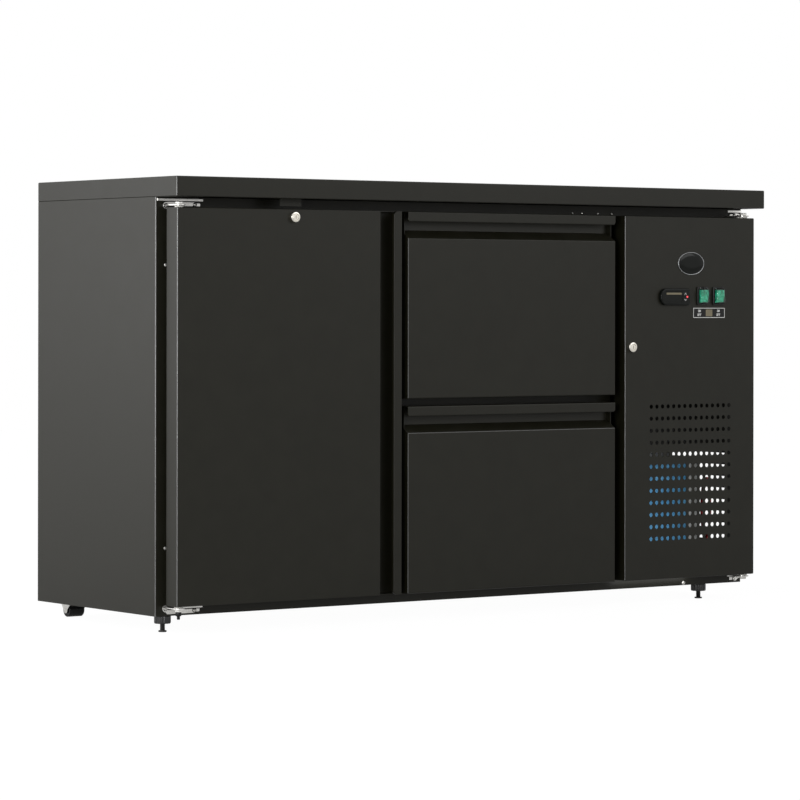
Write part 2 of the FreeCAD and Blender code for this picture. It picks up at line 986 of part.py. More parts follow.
def make_hinge_bracket(flange_length, stem):
    """Lower left corner bracket with its pivot pin."""
    axis = Vector(door_axis_x, hinge_axis_y, 0)
    arm_top = front_bottom - bush_collar - seat_gap
    arm_bottom = arm_top - hinge_plate
    back = (cabinet_face - hinge_plate, cabinet_face)
    flange = block(
        (hinge_flange_start, hinge_flange_start + flange_length),
        back,
        (arm_top - hinge_flange_height, arm_top),
    )
    lobe_centre = Vector(hinge_flange_start + hinge_lobe_inset, back[0], arm_top)
    lobe = rod(hinge_lobe_radius, lobe_centre, lobe_centre + Y_AXIS * hinge_plate)
    reach = hinge_arm_radius
    plate = block((axis.x - reach, axis.x + reach), (axis.y, cabinet_face), (arm_bottom, arm_top))
    nose = rod(reach, axis + Z_AXIS * arm_bottom, axis + Z_AXIS * arm_top)
    nut_bottom = arm_bottom - hinge_nut_height
    pin_top = axis + Z_AXIS * (arm_top + hinge_pin_length)
    pin = round_bar(hinge_pin_radius, axis + Z_AXIS * arm_bottom, pin_top)
    nut = bore(hinge_nut_flats / 2, axis + Z_AXIS * nut_bottom, axis + Z_AXIS * arm_bottom, nut_facets)
    pieces = [flange, lobe, plate, nose, pin, nut]
    if stem:
        stem_bottom = axis + Z_AXIS * (nut_bottom - hinge_stem_length)
        pieces.append(rod(hinge_stem_radius, stem_bottom, axis + Z_AXIS * nut_bottom))
    return union(pieces)


def make_hinge_brackets():
    middle = (front_bottom + front_top) / 2
    centre = overall_width / 2
    door_low = make_hinge_bracket(door_hinge_flange, True)
    door_high = mirror_z(make_hinge_bracket(door_hinge_flange, False), middle)
    panel_low = mirror_x(make_hinge_bracket(panel_hinge_flange, True), centre)
    panel_high = mirror_x(mirror_z(make_hinge_bracket(panel_hinge_flange, False), middle), centre)
    return group([door_low, door_high, panel_low, panel_high])


def bush_block(axis_x, low, high):
    """Square part of a hinge bush, or the pocket that holds it."""
    half = bush_half_width
    x = (axis_x - half, axis_x + half)
    return block(x, (hinge_axis_y - half, hinge_axis_y + half), (low, high))


bush_reach = hinge_pin_length - bush_collar - seat_gap


def make_hinge_bushes(axis_x):
    axis = Vector(axis_x, hinge_axis_y, 0)
    low = front_bottom - bush_collar
    collar = rod(bush_collar_radius, axis + Z_AXIS * low, axis + Z_AXIS * front_bottom, medium_facets)
    body = bush_block(axis_x, front_bottom, front_bottom + bush_reach + bush_wall)
    hole = bore(
        hinge_pin_radius + running_gap,
        axis + Z_AXIS * (low - overrun),
        axis + Z_AXIS * (front_bottom + bush_reach + seat_gap),
    )
    bush = union([collar, body]).cut(hole)
    return group([bush, mirror_z(bush, (front_bottom + front_top) / 2)])


def bush_pockets(axis_x):
    """Pockets for the two bushes in a hinged front."""
    low = bush_block(axis_x, front_bottom - overrun, front_bottom + bush_reach + bush_wall)
    return [low, mirror_z(low, (front_bottom + front_top) / 2)]


# Locks


def lock_body(x, z):
    """Threaded lock barrel with its protruding round head."""
    head = Vector(x, front_face - lock_protrusion, z)
    face = Vector(x, front_face, z)
    end = Vector(x, front_face + lock_barrel_length, z)
    cap = rod(lock_radius, head, face, medium_facets)
    barrel = rod(lock_barrel_radius, face, end)
    bore_radius = lock_plug_radius + running_gap
    hole = bore(bore_radius, head - Y_AXIS * overrun, end + Y_AXIS * overrun, medium_facets)
    return union([cap, barrel]).cut(hole)


def lock_cam(x, z, reach, direction, cam_start):
    """Key plug, spindle and cam in one turning piece."""
    head = Vector(x, front_face - lock_protrusion + lock_plug_recess, z)
    cam_face = Vector(x, cam_start, z)
    cam_back = Vector(x, cam_start + cam_thickness, z)
    plug_end = Vector(x, front_face + lock_barrel_length, z)
    plug = rod(lock_plug_radius, head, plug_end, medium_facets)
    slot = block(
        (x - key_slot_width / 2, x + key_slot_width / 2),
        (head.y - overrun, head.y + key_slot_depth),
        (z - key_slot_height / 2, z + key_slot_height / 2),
    )
    half = cam_width / 2
    spindle = rod(lock_plug_radius / 2, plug_end, cam_face, spindle_facets)
    side = direction.cross(Y_AXIS) * half
    tip = direction * reach
    outline = [cam_face - side, cam_face - side + tip, cam_face + side + tip, cam_face + side]
    arm = prism(outline, Y_AXIS * cam_thickness)
    hub = rod(half, cam_face, cam_back)
    return union([plug.cut(slot), spindle, hub, arm])


door_cam_start = front_face + lock_barrel_length + cam_gap
panel_cam_start = cabinet_inside + panel_cam_clearance


def door_lock_cutters():
    """Barrel hole, cam pocket and the slot in the top edge of the door."""
    half = cam_width / 2 + door_cam_side
    low_x = door_lock_x - half
    high_x = door_lock_x + door_cam_reach + door_cam_side
    y = (front_face + lock_barrel_length, door_cam_start + cam_thickness + door_cam_side)
    barrel = rod(
        lock_barrel_radius,
        Vector(door_lock_x, front_face - overrun, door_lock_z),
        Vector(door_lock_x, front_face + lock_barrel_length, door_lock_z),
    )
    pocket = block((low_x, high_x), y, (door_lock_z - half, front_top + overrun))
    return [barrel, pocket]


# Door


def make_door_skin():
    skin = grip_skin(door_width, fronts_height)
    skin.translate(Vector(door_left, 0, front_bottom))
    return skin.cut(bush_pockets(door_axis_x) + door_lock_cutters())


def make_door_grip_edge():
    edge = grip_edge(door_width, fronts_height, door_lip_radius)
    edge.translate(Vector(door_left, 0, front_bottom))
    return edge


def make_door_foam():
    core = grip_core(door_width, fronts_height, front_back - liner_sheet)
    core.translate(Vector(door_left, 0, front_bottom))
    return core.cut(bush_pockets(door_axis_x) + door_lock_cutters())


door_opening_x = (cavity_left, mullion_left)
door_opening_z = (cavity_floor, cavity_ceiling)
drawer_opening_x = (mullion_right, cavity_right)
upper_opening_z = (cross_rail_top, cavity_ceiling)
lower_opening_z = (cavity_floor, cross_rail_bottom)


def make_door_liner():
    """Inner door panel with a raised plinth inside the gasket."""
    plate = block(
        (door_left + front_sheet, door_right - front_sheet),
        (front_back - liner_sheet, front_back),
        (front_bottom + front_sheet, front_top - front_sheet),
    )
    margin = plinth_margin
    plinth = block(
        (door_opening_x[0] + margin, door_opening_x[1] - margin),
        (front_back - liner_sheet, front_back + plinth_height),
        (door_opening_z[0] + margin, door_opening_z[1] - margin),
    )
    plinth = plinth.makeChamfer(plinth_corner, edges_along(plinth, Y_AXIS, everywhere))
    return union([plate, plinth])


# Service panel


def make_service_panel():
    x = (panel_left, panel_right)
    y = (front_face, front_back)
    z = (front_bottom, front_top)
    sheet = front_sheet
    pan = block(x, y, z)
    pan = rounded(pan, bend_radius, Z_AXIS, lambda p: near(p.y, front_face))
    hollow = block((x[0] + sheet, x[1] - sheet), (y[0] + sheet, y[1] - sheet), (z[0] + sheet, z[1] - sheet))
    lip = edge_return
    mouth_y = (y[1] - sheet - overrun, y[1] + overrun)
    mouth = block((x[0] + lip, x[1] - lip), mouth_y, (z[0] + lip, z[1] - lip))
    holes = []
    first_x = (x[0] + x[1] - hole_pitch_x * (hole_columns - 1)) / 2
    face_end = front_face + sheet + overrun
    for row in range(hole_rows):
        level = front_bottom + hole_lowest + row * hole_pitch_z
        for column in range(hole_columns):
            place = first_x + column * hole_pitch_x
            start = Vector(place, front_face - overrun, level)
            holes.append(rod(hole_radius, start, Vector(place, face_end, level), hole_facets))
    barrel = rod(
        lock_barrel_radius,
        Vector(panel_lock_x, front_face - overrun, panel_lock_z),
        Vector(panel_lock_x, face_end, panel_lock_z),
    )
    cutouts = [barrel, controller_hole()] + switch_holes()
    pan = pan.cut([hollow, mouth])
    pan = pan.cut(holes)
    return pan.cut(bush_pockets(panel_axis_x) + cutouts)


def centred(centre, width, y, height, level):
    """Block centred across X and Z."""
    return block(
        (centre - width / 2, centre + width / 2), y, (level - height / 2, level + height / 2)
    )


controller_x = panel_left + controller_centre_x
controller_z = front_top - controller_drop
controller_front = front_face - controller_protrusion


def controller_hole():
    y = (front_face - overrun, front_face + front_sheet + overrun)
    return centred(controller_x, controller_body_width, y, controller_body_height, controller_z)


def key_places():
    x = controller_x + key_offset
    half = Z_AXIS * (key_pitch / 2)
    middle = Vector(x, controller_front, controller_z)
    return (middle + half, middle - half)


def make_controller():
    bezel = centred(
        controller_x, controller_width, (controller_front, front_face), controller_height, controller_z
    )
    left = controller_x - controller_width / 2
    bezel = chamfered(bezel, controller_end_radius, Y_AXIS, lambda p: near(p.x, left))
    body = centred(
        controller_x,
        controller_body_width,
        (front_face, front_face + controller_body_depth),
        controller_body_height,
        controller_z,
    )
    window = centred(
        controller_x - controller_window_offset,
        controller_window_width,
        (controller_front - overrun, controller_front + controller_window_depth),
        controller_window_height,
        controller_z,
    )
    cutters = [window]
    pocket_depth = key_depth - key_stand + key_travel + seat_gap
    for place in key_places():
        cutters.append(
            centred(
                place.x,
                key_width + 2 * key_gap,
                (controller_front - overrun, controller_front + pocket_depth),
                key_height + 2 * key_gap,
                place.z,
            )
        )
    return union([bezel, body]).cut(cutters)


def make_key(place):
    y = (controller_front - key_stand, controller_front - key_stand + key_depth)
    return centred(place.x, key_width, y, key_height, place.z)


def switch_places():
    first = panel_left + switch_centre_x - switch_pitch / 2
    level = front_top - switch_drop
    return (Vector(first, front_face, level), Vector(first + switch_pitch, front_face, level))


def switch_holes():
    y = (front_face - overrun, front_face + front_sheet + overrun)
    holes = []
    for place in switch_places():
        holes.append(centred(place.x, switch_body_width, y, switch_body_height, place.z))
    return holes


def make_switch_bezels():
    bezels = []
    window_x = rocker_width + 2 * seat_gap
    window_z = rocker_height + 2 * rocker_gap
    for place in switch_places():
        frame = centred(
            place.x, switch_width, (front_face - switch_bezel_depth, front_face), switch_height, place.z
        )
        frame = chamfered(frame, switch_bezel_edge, Y_AXIS, everywhere)
        body_y = (front_face, front_face + switch_body_depth)
        body = centred(place.x, switch_body_width, body_y, switch_body_height, place.z)
        well = centred(
            place.x,
            window_x,
            (front_face - switch_bezel_depth - overrun, front_face + rocker_depth + rocker_rise),
            window_z,
            place.z,
        )
        bezels.append(union([frame, body]).cut(well))
    return group(bezels)


def make_rocker(place):
    """Rocker with a raised middle, tilted to its on position."""
    half = rocker_height / 2
    front = place.y - switch_bezel_depth - rocker_crown
    side_front = front + rocker_rise / 2
    back = place.y + rocker_depth
    tail = rocker_height * rocker_tail_share
    points = [
        (side_front, -half),
        (front, 0),
        (side_front, half),
        (place.y, half),
        (back, tail),
        (back, -tail),
        (place.y, -half),
    ]
    left = place.x - rocker_width / 2
    outline = [Vector(left, y, place.z + z) for y, z in points]
    rocker = prism(outline, X_AXIS * rocker_width)
    rocker.rotate(place, X_AXIS, rocker_tilt)
    return rocker


# Feet and rollers


def make_foot(place):
    """Fluted disc with its stem."""
    outline = []
    for step in range(2 * foot_flutes):
        angle = math.pi * step / foot_flutes
        radius = foot_radius if step % 2 == 0 else foot_radius - foot_flute_depth
        outline.append(place + Vector(radius * math.cos(angle), radius * math.sin(angle), 0))
    disc = prism(outline, Z_AXIS * foot_height)
    stem_top = place + Z_AXIS * (foot_height + foot_stem_length)
    return union([disc, rod(foot_stem_radius, place + Z_AXIS * foot_height, stem_top)])


roller_axis_y = cabinet_rear - roller_setback
roller_left = roller_inset + bracket_sheet + roller_side_gap


def make_roller():
    """Left rear roller on its axle."""
    start = Vector(roller_left, roller_axis_y, roller_radius)
    end = start + X_AXIS * roller_length
    wheel = rod(roller_radius, start, end, large_facets)
    return wheel.cut(bore(roller_bore_radius + running_gap, start - X_AXIS * overrun, end + X_AXIS * overrun))


def make_roller_bracket():
    """Left rear fork with tapering cheeks and a riveted axle."""
    left = roller_inset
    right = roller_left + roller_length + roller_side_gap + bracket_sheet
    half = bracket_top_length / 2
    top = (cabinet_bottom - bracket_sheet, cabinet_bottom)
    plate = block((left, right), (roller_axis_y - half, roller_axis_y + half), top)
    pieces = [plate]
    foot = bracket_foot_radius
    for x in (left, right - bracket_sheet):
        cheek = [
            Vector(x, roller_axis_y - half, cabinet_bottom),
            Vector(x, roller_axis_y + half, cabinet_bottom),
            Vector(x, roller_axis_y + foot, roller_radius),
            Vector(x, roller_axis_y - foot, roller_radius),
        ]
        pieces.append(prism(cheek, X_AXIS * bracket_sheet))
        centre = Vector(x, roller_axis_y, roller_radius)
        pieces.append(rod(foot, centre, centre + X_AXIS * bracket_sheet))
    start = Vector(left, roller_axis_y, roller_radius)
    end = Vector(right, roller_axis_y, roller_radius)
    pieces.append(rod(roller_bore_radius, start, end))
    return union(pieces)


# Fans


def fan_blade_set(centre, radius, hub_radius, hub_depth, reach):
    """Hub with pitched blades turning about Y, each standing out by its reach to both sides."""
    half_hub = Y_AXIS * (hub_depth / 2)
    pieces = [rod(hub_radius, centre - half_hub, centre + half_hub, medium_facets)]
    half_sweep = math.radians(fan_blade_sweep / 2)
    root = hub_radius * math.cos(half_sweep)
    root_half = hub_radius * math.sin(half_sweep)
    tip_half = radius * math.sin(half_sweep)
    shoulder = radius * math.cos(half_sweep)
    left_side = [(-root_half, root), (-tip_half, shoulder)]
    right_side = [(tip_half, shoulder), (root_half, root)]
    outline = left_side + [(0, radius)] + right_side
    slope = (reach - fan_blade_sheet / 2) / tip_half
    for step in range(fan_blades):
        points = [Vector(x, x * slope - fan_blade_sheet / 2, z) for x, z in outline]
        blade = prism(points, Y_AXIS * fan_blade_sheet)
        blade.rotate(Vector(0, 0, 0), Y_AXIS, full_turn * step / fan_blades)
        blade.translate(centre)
        pieces.append(blade)
    return pieces


# Evaporator

cover_left = mullion_right + cover_side_gap
cover_right = cavity_right - cover_side_gap
cover_width = cover_right - cover_left
cover_top = cavity_ceiling - cover_drop
cover_bottom = cover_top - cover_height
cover_front = cavity_rear - cover_depth
guard_radius = cover_width * guard_radius_share
guard_slot_width = cover_width * guard_slot_width_share
small_fan_radius = cover_width * small_fan_radius_share
small_fan_hub_radius = cover_width * small_fan_hub_share
small_fan_motor_radius = small_fan_motor_core + cover_width * small_fan_winding_share
small_fan_x = cover_right - cover_width * guard_inset_share
small_fan_z = (cover_top + cover_bottom) / 2
small_motor_face = cavity_rear - small_fan_motor_depth


def make_evaporator_cover():
    shell = block((cover_left, cover_right), (cover_front, cavity_rear), (cover_bottom, cover_top))
    shell = rounded(shell, bend_radius, Z_AXIS, lambda p: near(p.y, cover_front))
    sheet = cover_sheet
    hollow = block(
        (cover_left + sheet, cover_right - sheet),
        (cover_front + sheet, cavity_rear + overrun),
        (cover_bottom + sheet, cover_top - sheet),
    )
    y = (cover_front - overrun, cover_front + sheet + overrun)
    openings = []
    for step in range(guard_slots):
        offset = guard_radius * ((2 * step + 1) / guard_slots - 1)
        reach = math.sqrt(guard_radius * guard_radius - offset * offset)
        openings.append(centred(small_fan_x, 2 * reach, y, guard_slot_width, small_fan_z + offset))
    slot_left = cover_left + cover_slot_margin
    slot_right = small_fan_x - guard_radius - cover_slot_margin
    slot_centre = (slot_left + slot_right) / 2
    rise = (cover_height - 2 * cover_slot_margin) / (cover_slots - 1)
    for step in range(cover_slots):
        level = cover_bottom + cover_slot_margin + rise * step
        openings.append(centred(slot_centre, slot_right - slot_left, y, cover_slot_width, level))
    return shell.cut([hollow] + openings)


def finned_block(x, y, z, fins, fin_sheet, fin_depth):
    """Coil core with upright fins standing out at its front."""
    pitch = (x[1] - x[0] - fin_sheet) / (fins - 1)
    root = y[0] + fin_depth
    outline = []
    for step in range(fins):
        left = x[0] + pitch * step
        outline += [(left, root), (left, y[0]), (left + fin_sheet, y[0]), (left + fin_sheet, root)]
    outline[0] = (x[0], y[1])
    outline[-1] = (x[1], y[1])
    outline.insert(1, (x[0], y[0]))
    del outline[2]
    points = [Vector(px, py, z[0]) for px, py in outline]
    return prism(points, Z_AXIS * (z[1] - z[0]))


def return_bends(x, outward, depth, z, rows, first, radius):
    """Return bends that join neighbouring tubes at one end of a coil."""
    rise = (z[1] - z[0]) / rows
    reach = outward * 2 * radius
    bends = []
    for row in range(first, rows - 1, 2):
        low = z[0] + rise * row + rise / 2
        sides = (min(x, x + reach), max(x, x + reach))
        tall = (low - radius, low + rise + radius)
        bend = block(sides, (depth - radius, depth + radius), tall)
        corner = radius + radius / 2
        outer = x + reach
        bends.append(chamfered(bend, corner, Y_AXIS, lambda p: near(p.x, outer)))
    return bends


def make_evaporator_coil():
    left = cover_left + cover_width * evaporator_inset_share
    middle = (cover_front + cavity_rear) / 2
    y = (middle - evaporator_depth / 2, middle + evaporator_depth / 2)
    z = (small_fan_z - evaporator_height / 2, small_fan_z + evaporator_height / 2)
    x = (left, left + cover_width * evaporator_width_share)
    pieces = [finned_block(x, y, z, evaporator_fins, evaporator_fin_sheet, evaporator_fin_depth)]
    tubes = (evaporator_tube_rows, 0, evaporator_tube_radius)
    pieces += return_bends(x[1], 1, middle, z, *tubes)
    tubes = (evaporator_tube_rows, 1, evaporator_tube_radius)
    pieces += return_bends(x[0], -1, middle, z, *tubes)
    for level in (z[0], z[1] - evaporator_foot):
        for place in (x[0], x[1] - evaporator_foot):
            pieces.append(
                block((place, place + evaporator_foot), (y[1], cavity_rear), (level, level + evaporator_foot))
            )
    return union(pieces)


def make_evaporator_motor():
    centre = Vector(small_fan_x, 0, small_fan_z)
    face = centre + Y_AXIS * small_motor_face
    back = centre + Y_AXIS * cavity_rear
    half = small_fan_motor_radius + small_fan_arm
    foot = block(
        (centre.x - half, centre.x + half),
        (cavity_rear - zinc_sheet, cavity_rear),
        (centre.z - small_fan_motor_radius / 2, centre.z + small_fan_motor_radius / 2),
    )
    hole = bore(small_fan_shaft_radius + running_gap, face - Y_AXIS * overrun, back - Y_AXIS * small_fan_arm)
    return union([rod(small_fan_motor_radius, face, back, medium_facets), foot]).cut(hole)


def make_evaporator_fan():
    room = small_motor_face - cover_front - cover_sheet
    centre = Vector(small_fan_x, cover_front + cover_sheet + room / 2, small_fan_z)
    pieces = fan_blade_set(
        centre, small_fan_radius, small_fan_hub_radius, small_fan_hub_depth, small_fan_blade_reach
    )
    end = Vector(small_fan_x, cavity_rear - small_fan_arm - fan_shaft_play, small_fan_z)
    return union(pieces + [rod(small_fan_shaft_radius, centre, end)])


# Machine bay

chassis_bottom = cabinet_bottom + base_sheet
chassis_top = chassis_bottom + chassis_sheet
chassis_x = (partition_right + chassis_margin, case_right - chassis_margin)
chassis_y = (cabinet_inside + chassis_margin, foam_rear - chassis_margin)
condenser_left = partition_right + condenser_left_gap
condenser_right = condenser_left + condenser_width
condenser_front = cabinet_inside + condenser_front_gap
condenser_back = condenser_front + condenser_depth
condenser_top = chassis_top + condenser_height
shroud_back = condenser_back + shroud_sheet
condenser_centre_x = (condenser_left + condenser_right) / 2
condenser_centre_z = (chassis_top + condenser_top) / 2
large_fan_y = shroud_back + large_fan_gap + large_fan_blade_reach
large_motor_face = large_fan_y + large_fan_blade_reach + large_fan_gap
compressor_y = foam_rear - compressor_rear_gap - compressor_radius
header_x = condenser_right + pipe_header_gap
compressor_x = header_x - pipe_port_offset
compressor_bottom = chassis_top + compressor_pad_height + compressor_foot_sheet


def make_machine_base():
    floor = block(chassis_x, chassis_y, (chassis_bottom, chassis_top))
    lips = []
    for x in (chassis_x[0], chassis_x[1] - chassis_sheet):
        lips.append(block((x, x + chassis_sheet), chassis_y, (chassis_bottom, chassis_top + chassis_lip)))
    boss = foot_places()[1]
    half = foot_boss_radius + chassis_sheet
    notch = block(
        (boss.x - half, case_right), (cabinet_inside, boss.y + half), (cabinet_bottom, cavity_floor)
    )
    return union([floor] + lips).cut(notch)


condenser_fins_left = condenser_left + condenser_end_sheet + 2 * condenser_tube_radius
condenser_fins_right = condenser_right - condenser_end_flange
condenser_rise = condenser_height / condenser_tube_rows
condenser_port_z = condenser_top - condenser_rise / 2
condenser_port_y = condenser_front + condenser_depth * condenser_port_share


def make_condenser():
    z = (chassis_top, condenser_top)
    y = (condenser_front, condenser_back)
    sheet = condenser_end_sheet
    x = (condenser_fins_left, condenser_fins_right)
    pieces = [
        finned_block(x, y, z, condenser_fins, condenser_fin_sheet, condenser_fin_depth),
        block((x[0] - sheet, x[0]), y, z),
        block((x[1], x[1] + sheet), y, z),
        block((x[1], condenser_right), (y[0], y[0] + sheet), z),
        block((condenser_left, x[0]), (y[1] - sheet, y[1]), z),
        block((x[0] - sheet, x[1] + sheet), y, (z[1], z[1] + sheet)),
    ]
    for layer in range(condenser_tube_layers):
        depth = y[0] + condenser_depth * (2 * layer + 1) / (2 * condenser_tube_layers)
        size = (condenser_tube_rows, 0, condenser_tube_radius)
        pieces += return_bends(x[1] + sheet, 1, depth, z, *size)
    port = Vector(x[1] + sheet, condenser_port_y, condenser_port_z)
    pieces.append(rod(pipe_radius, port, port + X_AXIS * (2 * condenser_tube_radius)))
    return union(pieces)


def make_condenser_shroud():
    plate = block(
        (condenser_left, condenser_right),
        (condenser_back, shroud_back),
        (chassis_top, condenser_top + shroud_top_band),
    )
    centre = Vector(condenser_centre_x, condenser_back, condenser_centre_z)
    ring_end = centre + Y_AXIS * shroud_ring_depth
    ring = rod(shroud_opening_radius + shroud_sheet, centre, ring_end, large_facets)
    opening = rod(
        shroud_opening_radius, centre - Y_AXIS * overrun, ring_end + Y_AXIS * overrun, large_facets
    )
    top = block(
        (condenser_left, condenser_fins_right),
        (condenser_front, shroud_back),
        (condenser_top + shroud_top_band, condenser_top + shroud_top_band + shroud_sheet),
    )
    return union([plate, ring, top]).cut(opening)


def make_condenser_motor():
    centre = Vector(condenser_centre_x, large_motor_face, condenser_centre_z)
    back = centre + Y_AXIS * large_fan_motor_depth
    motor = rod(large_fan_motor_radius, centre, back, medium_facets)
    hole = bore(
        large_fan_shaft_radius + running_gap, centre - Y_AXIS * overrun, back - Y_AXIS * large_fan_arm
    )
    reach = shroud_opening_radius + 2 * large_fan_arm
    half = large_fan_arm / 2
    arm_y = (centre.y, centre.y + bracket_sheet)
    bar = block((centre.x - reach, centre.x + reach), arm_y, (centre.z - half, centre.z + half))
    legs = []
    for x in (centre.x - reach, centre.x + reach - bracket_sheet):
        leg_x = (x, x + bracket_sheet)
        legs.append(block(leg_x, (shroud_back, arm_y[1]), (centre.z - half, centre.z + half)))
    return union([motor, bar] + legs).cut(hole)


def make_condenser_fan():
    centre = Vector(condenser_centre_x, large_fan_y, condenser_centre_z)
    pieces = fan_blade_set(
        centre, large_fan_radius, large_fan_hub_radius, large_fan_hub_depth, large_fan_blade_reach
    )
    shaft_end = large_motor_face + large_fan_motor_depth - large_fan_arm - fan_shaft_play
    end = Vector(condenser_centre_x, shaft_end, condenser_centre_z)
    return union(pieces + [rod(large_fan_shaft_radius, centre, end)])


def make_compressor():
    """Welded shell with a domed top, seam flange, terminal box and foot plate."""
    base = Vector(compressor_x, compressor_y, compressor_bottom)
    top = base + Z_AXIS * compressor_height
    shoulder = top - Z_AXIS * compressor_dome
    seam_start = base + Z_AXIS * (compressor_height * compressor_seam_share)
    seam_end = seam_start + Z_AXIS * compressor_seam_height
    pieces = [
        rod(compressor_radius, base, shoulder, medium_facets),
        frustum(compressor_radius, compressor_crown_radius, shoulder, top, medium_facets),
        rod(compressor_seam_radius, seam_start, seam_end, medium_facets),
    ]
    half_span = compressor_foot_span / 2
    half_depth = compressor_foot_depth / 2
    plate = block(
        (base.x - half_span, base.x + half_span),
        (base.y - half_depth, base.y + half_depth),
        (base.z - compressor_foot_sheet, base.z),
    )
    pieces.append(chamfered(plate, compressor_pad_radius, Z_AXIS, everywhere))
    for side_x in (-1, 1):
        for side_y in (-1, 1):
            corner = Vector(
                base.x + side_x * (half_span - compressor_pad_radius),
                base.y + side_y * (half_depth - compressor_pad_radius),
                chassis_top,
            )
            pad_top = corner + Z_AXIS * compressor_pad_height
            pieces.append(rod(compressor_pad_radius, corner, pad_top, pipe_facets))
    terminal_top = compressor_height * compressor_seam_share - terminal_drop
    y = (base.y - compressor_radius - terminal_depth, base.y)
    level = base.z + terminal_top - terminal_height / 2
    pieces.append(centred(base.x, terminal_width, y, terminal_height, level))
    return union(pieces)


def make_pipes():
    """Discharge line to the condenser and suction line to the insulated wall."""
    top = compressor_bottom + compressor_height
    crossing = top + pipe_rise
    port_x = condenser_fins_right + condenser_end_sheet + 2 * condenser_tube_radius
    discharge = bent_pipe(
        [
            Vector(header_x, compressor_y, top),
            Vector(header_x, compressor_y, crossing),
            Vector(header_x, condenser_port_y, crossing),
            Vector(header_x, condenser_port_y, condenser_port_z),
            Vector(port_x, condenser_port_y, condenser_port_z),
        ],
        pipe_radius,
        pipe_bend,
    )
    suction_x = compressor_x - pipe_port_offset
    suction = bent_pipe(
        [
            Vector(suction_x, compressor_y, top),
            Vector(suction_x, compressor_y, crossing + pipe_rise),
            Vector(partition_right, compressor_y, crossing + pipe_rise),
        ],
        pipe_radius,
        pipe_bend,
    )
    return group([discharge, suction])


def make_electrical_box():
    y1 = foam_rear - box_rear_gap
    z1 = worktop_underside - box_drop
    return block(
        (partition_right, partition_right + box_depth), (y1 - box_width, y1), (z1 - box_height, z1)
    )


def main():
    os.makedirs("parts", exist_ok=True)
    centre = overall_width / 2
    save("worktop", make_worktop())
    save("case_top", make_case_top())
    save("left_side_panel", make_side_panel(side_wall))
    save("right_side_panel", make_right_side_panel())
    save("back_panel", make_back_panel())
    save("base_pan", make_base_pan())
    save("cabinet_foam", make_cabinet_foam())
    save("inner_liner", make_inner_liner())
    save("partition_panel", make_partition_panel())
    save("front_frame", group([make_front_posts(), make_cross_rail(), make_keeper()]))
    save("liner_fittings", group([make_divider(), make_shelf_supports()]))
    save("wire_shelf", make_wire_shelf())
    save("hinge_brackets", make_hinge_brackets())

    save("door_skin", make_door_skin())
    save("door_grip_edge", make_door_grip_edge())
    save("door_foam", make_door_foam())
    save("door_liner", make_door_liner())
    save("door_gasket", gasket_ring(door_opening_x, door_opening_z, front_back))
    save("door_hinge_bushes", make_hinge_bushes(door_axis_x))
    save("door_lock_body", lock_body(door_lock_x, door_lock_z))
    save("door_lock_cam", lock_cam(door_lock_x, door_lock_z, door_cam_reach, X_AXIS, door_cam_start))

    save("service_panel", make_service_panel())
    save("panel_hinge_bushes", make_hinge_bushes(panel_axis_x))
    save("panel_lock_body", lock_body(panel_lock_x, panel_lock_z))
    save("panel_lock_cam", lock_cam(panel_lock_x, panel_lock_z, panel_cam_reach, Z_AXIS, panel_cam_start))
    save("controller", make_controller())
    for name, place in zip(("controller_key_up", "controller_key_down"), key_places()):
        save(name, make_key(place))
    save("switch_bezels", make_switch_bezels())
    for name, place in zip(("rocker_left", "rocker_right"), switch_places()):
        save(name, make_rocker(place))

    fixed_rails = []
    drawers = (
        ("upper", upper_drawer_bottom, upper_box_bottom, upper_opening_z),
        ("lower", front_bottom, lower_box_bottom, lower_opening_z),
    )
    for name, bottom, box_bottom, opening in drawers:
        members = runner_members(box_bottom)
        fixed_rails.extend(members[0])
        save(name + "_drawer_front", make_drawer_front(bottom))
        save(name + "_drawer_grip_edge", make_drawer_grip_edge(bottom))
        save(name + "_drawer_foam", make_drawer_foam(bottom))
        save(name + "_drawer_gasket", gasket_ring(drawer_opening_x, opening, front_back))
        save(name + "_drawer_box", make_drawer_box(box_bottom, bottom))
        save(name + "_drawer_slides", group(list(members[1])))
    save("runner_rails", group(fixed_rails))

    for name, place in zip(("front_foot_left", "front_foot_right"), foot_places()):
        save(name, make_foot(place))
    roller = make_roller()
    save("rear_roller_left", roller)
    save("rear_roller_right", mirror_x(roller, centre))
    bracket = make_roller_bracket()
    save("roller_brackets", group([bracket, mirror_x(bracket, centre)]))

    save("evaporator_cover", make_evaporator_cover())
    save("evaporator_coil", make_evaporator_coil())
    save("evaporator_fan", make_evaporator_fan())

    save("machine_base", make_machine_base())
    save("condenser_coil", make_condenser())
    save("condenser_shroud", make_condenser_shroud())
    save("fan_motors", group([make_evaporator_motor(), make_condenser_motor()]))
    save("condenser_fan", make_condenser_fan())
    save("compressor", make_compressor())
    save("refrigerant_pipes", make_pipes())
    save("electrical_box", make_electrical_box())


main()
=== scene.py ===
import json
import math

import bmesh
import bpy
from mathutils import Matrix, Vector

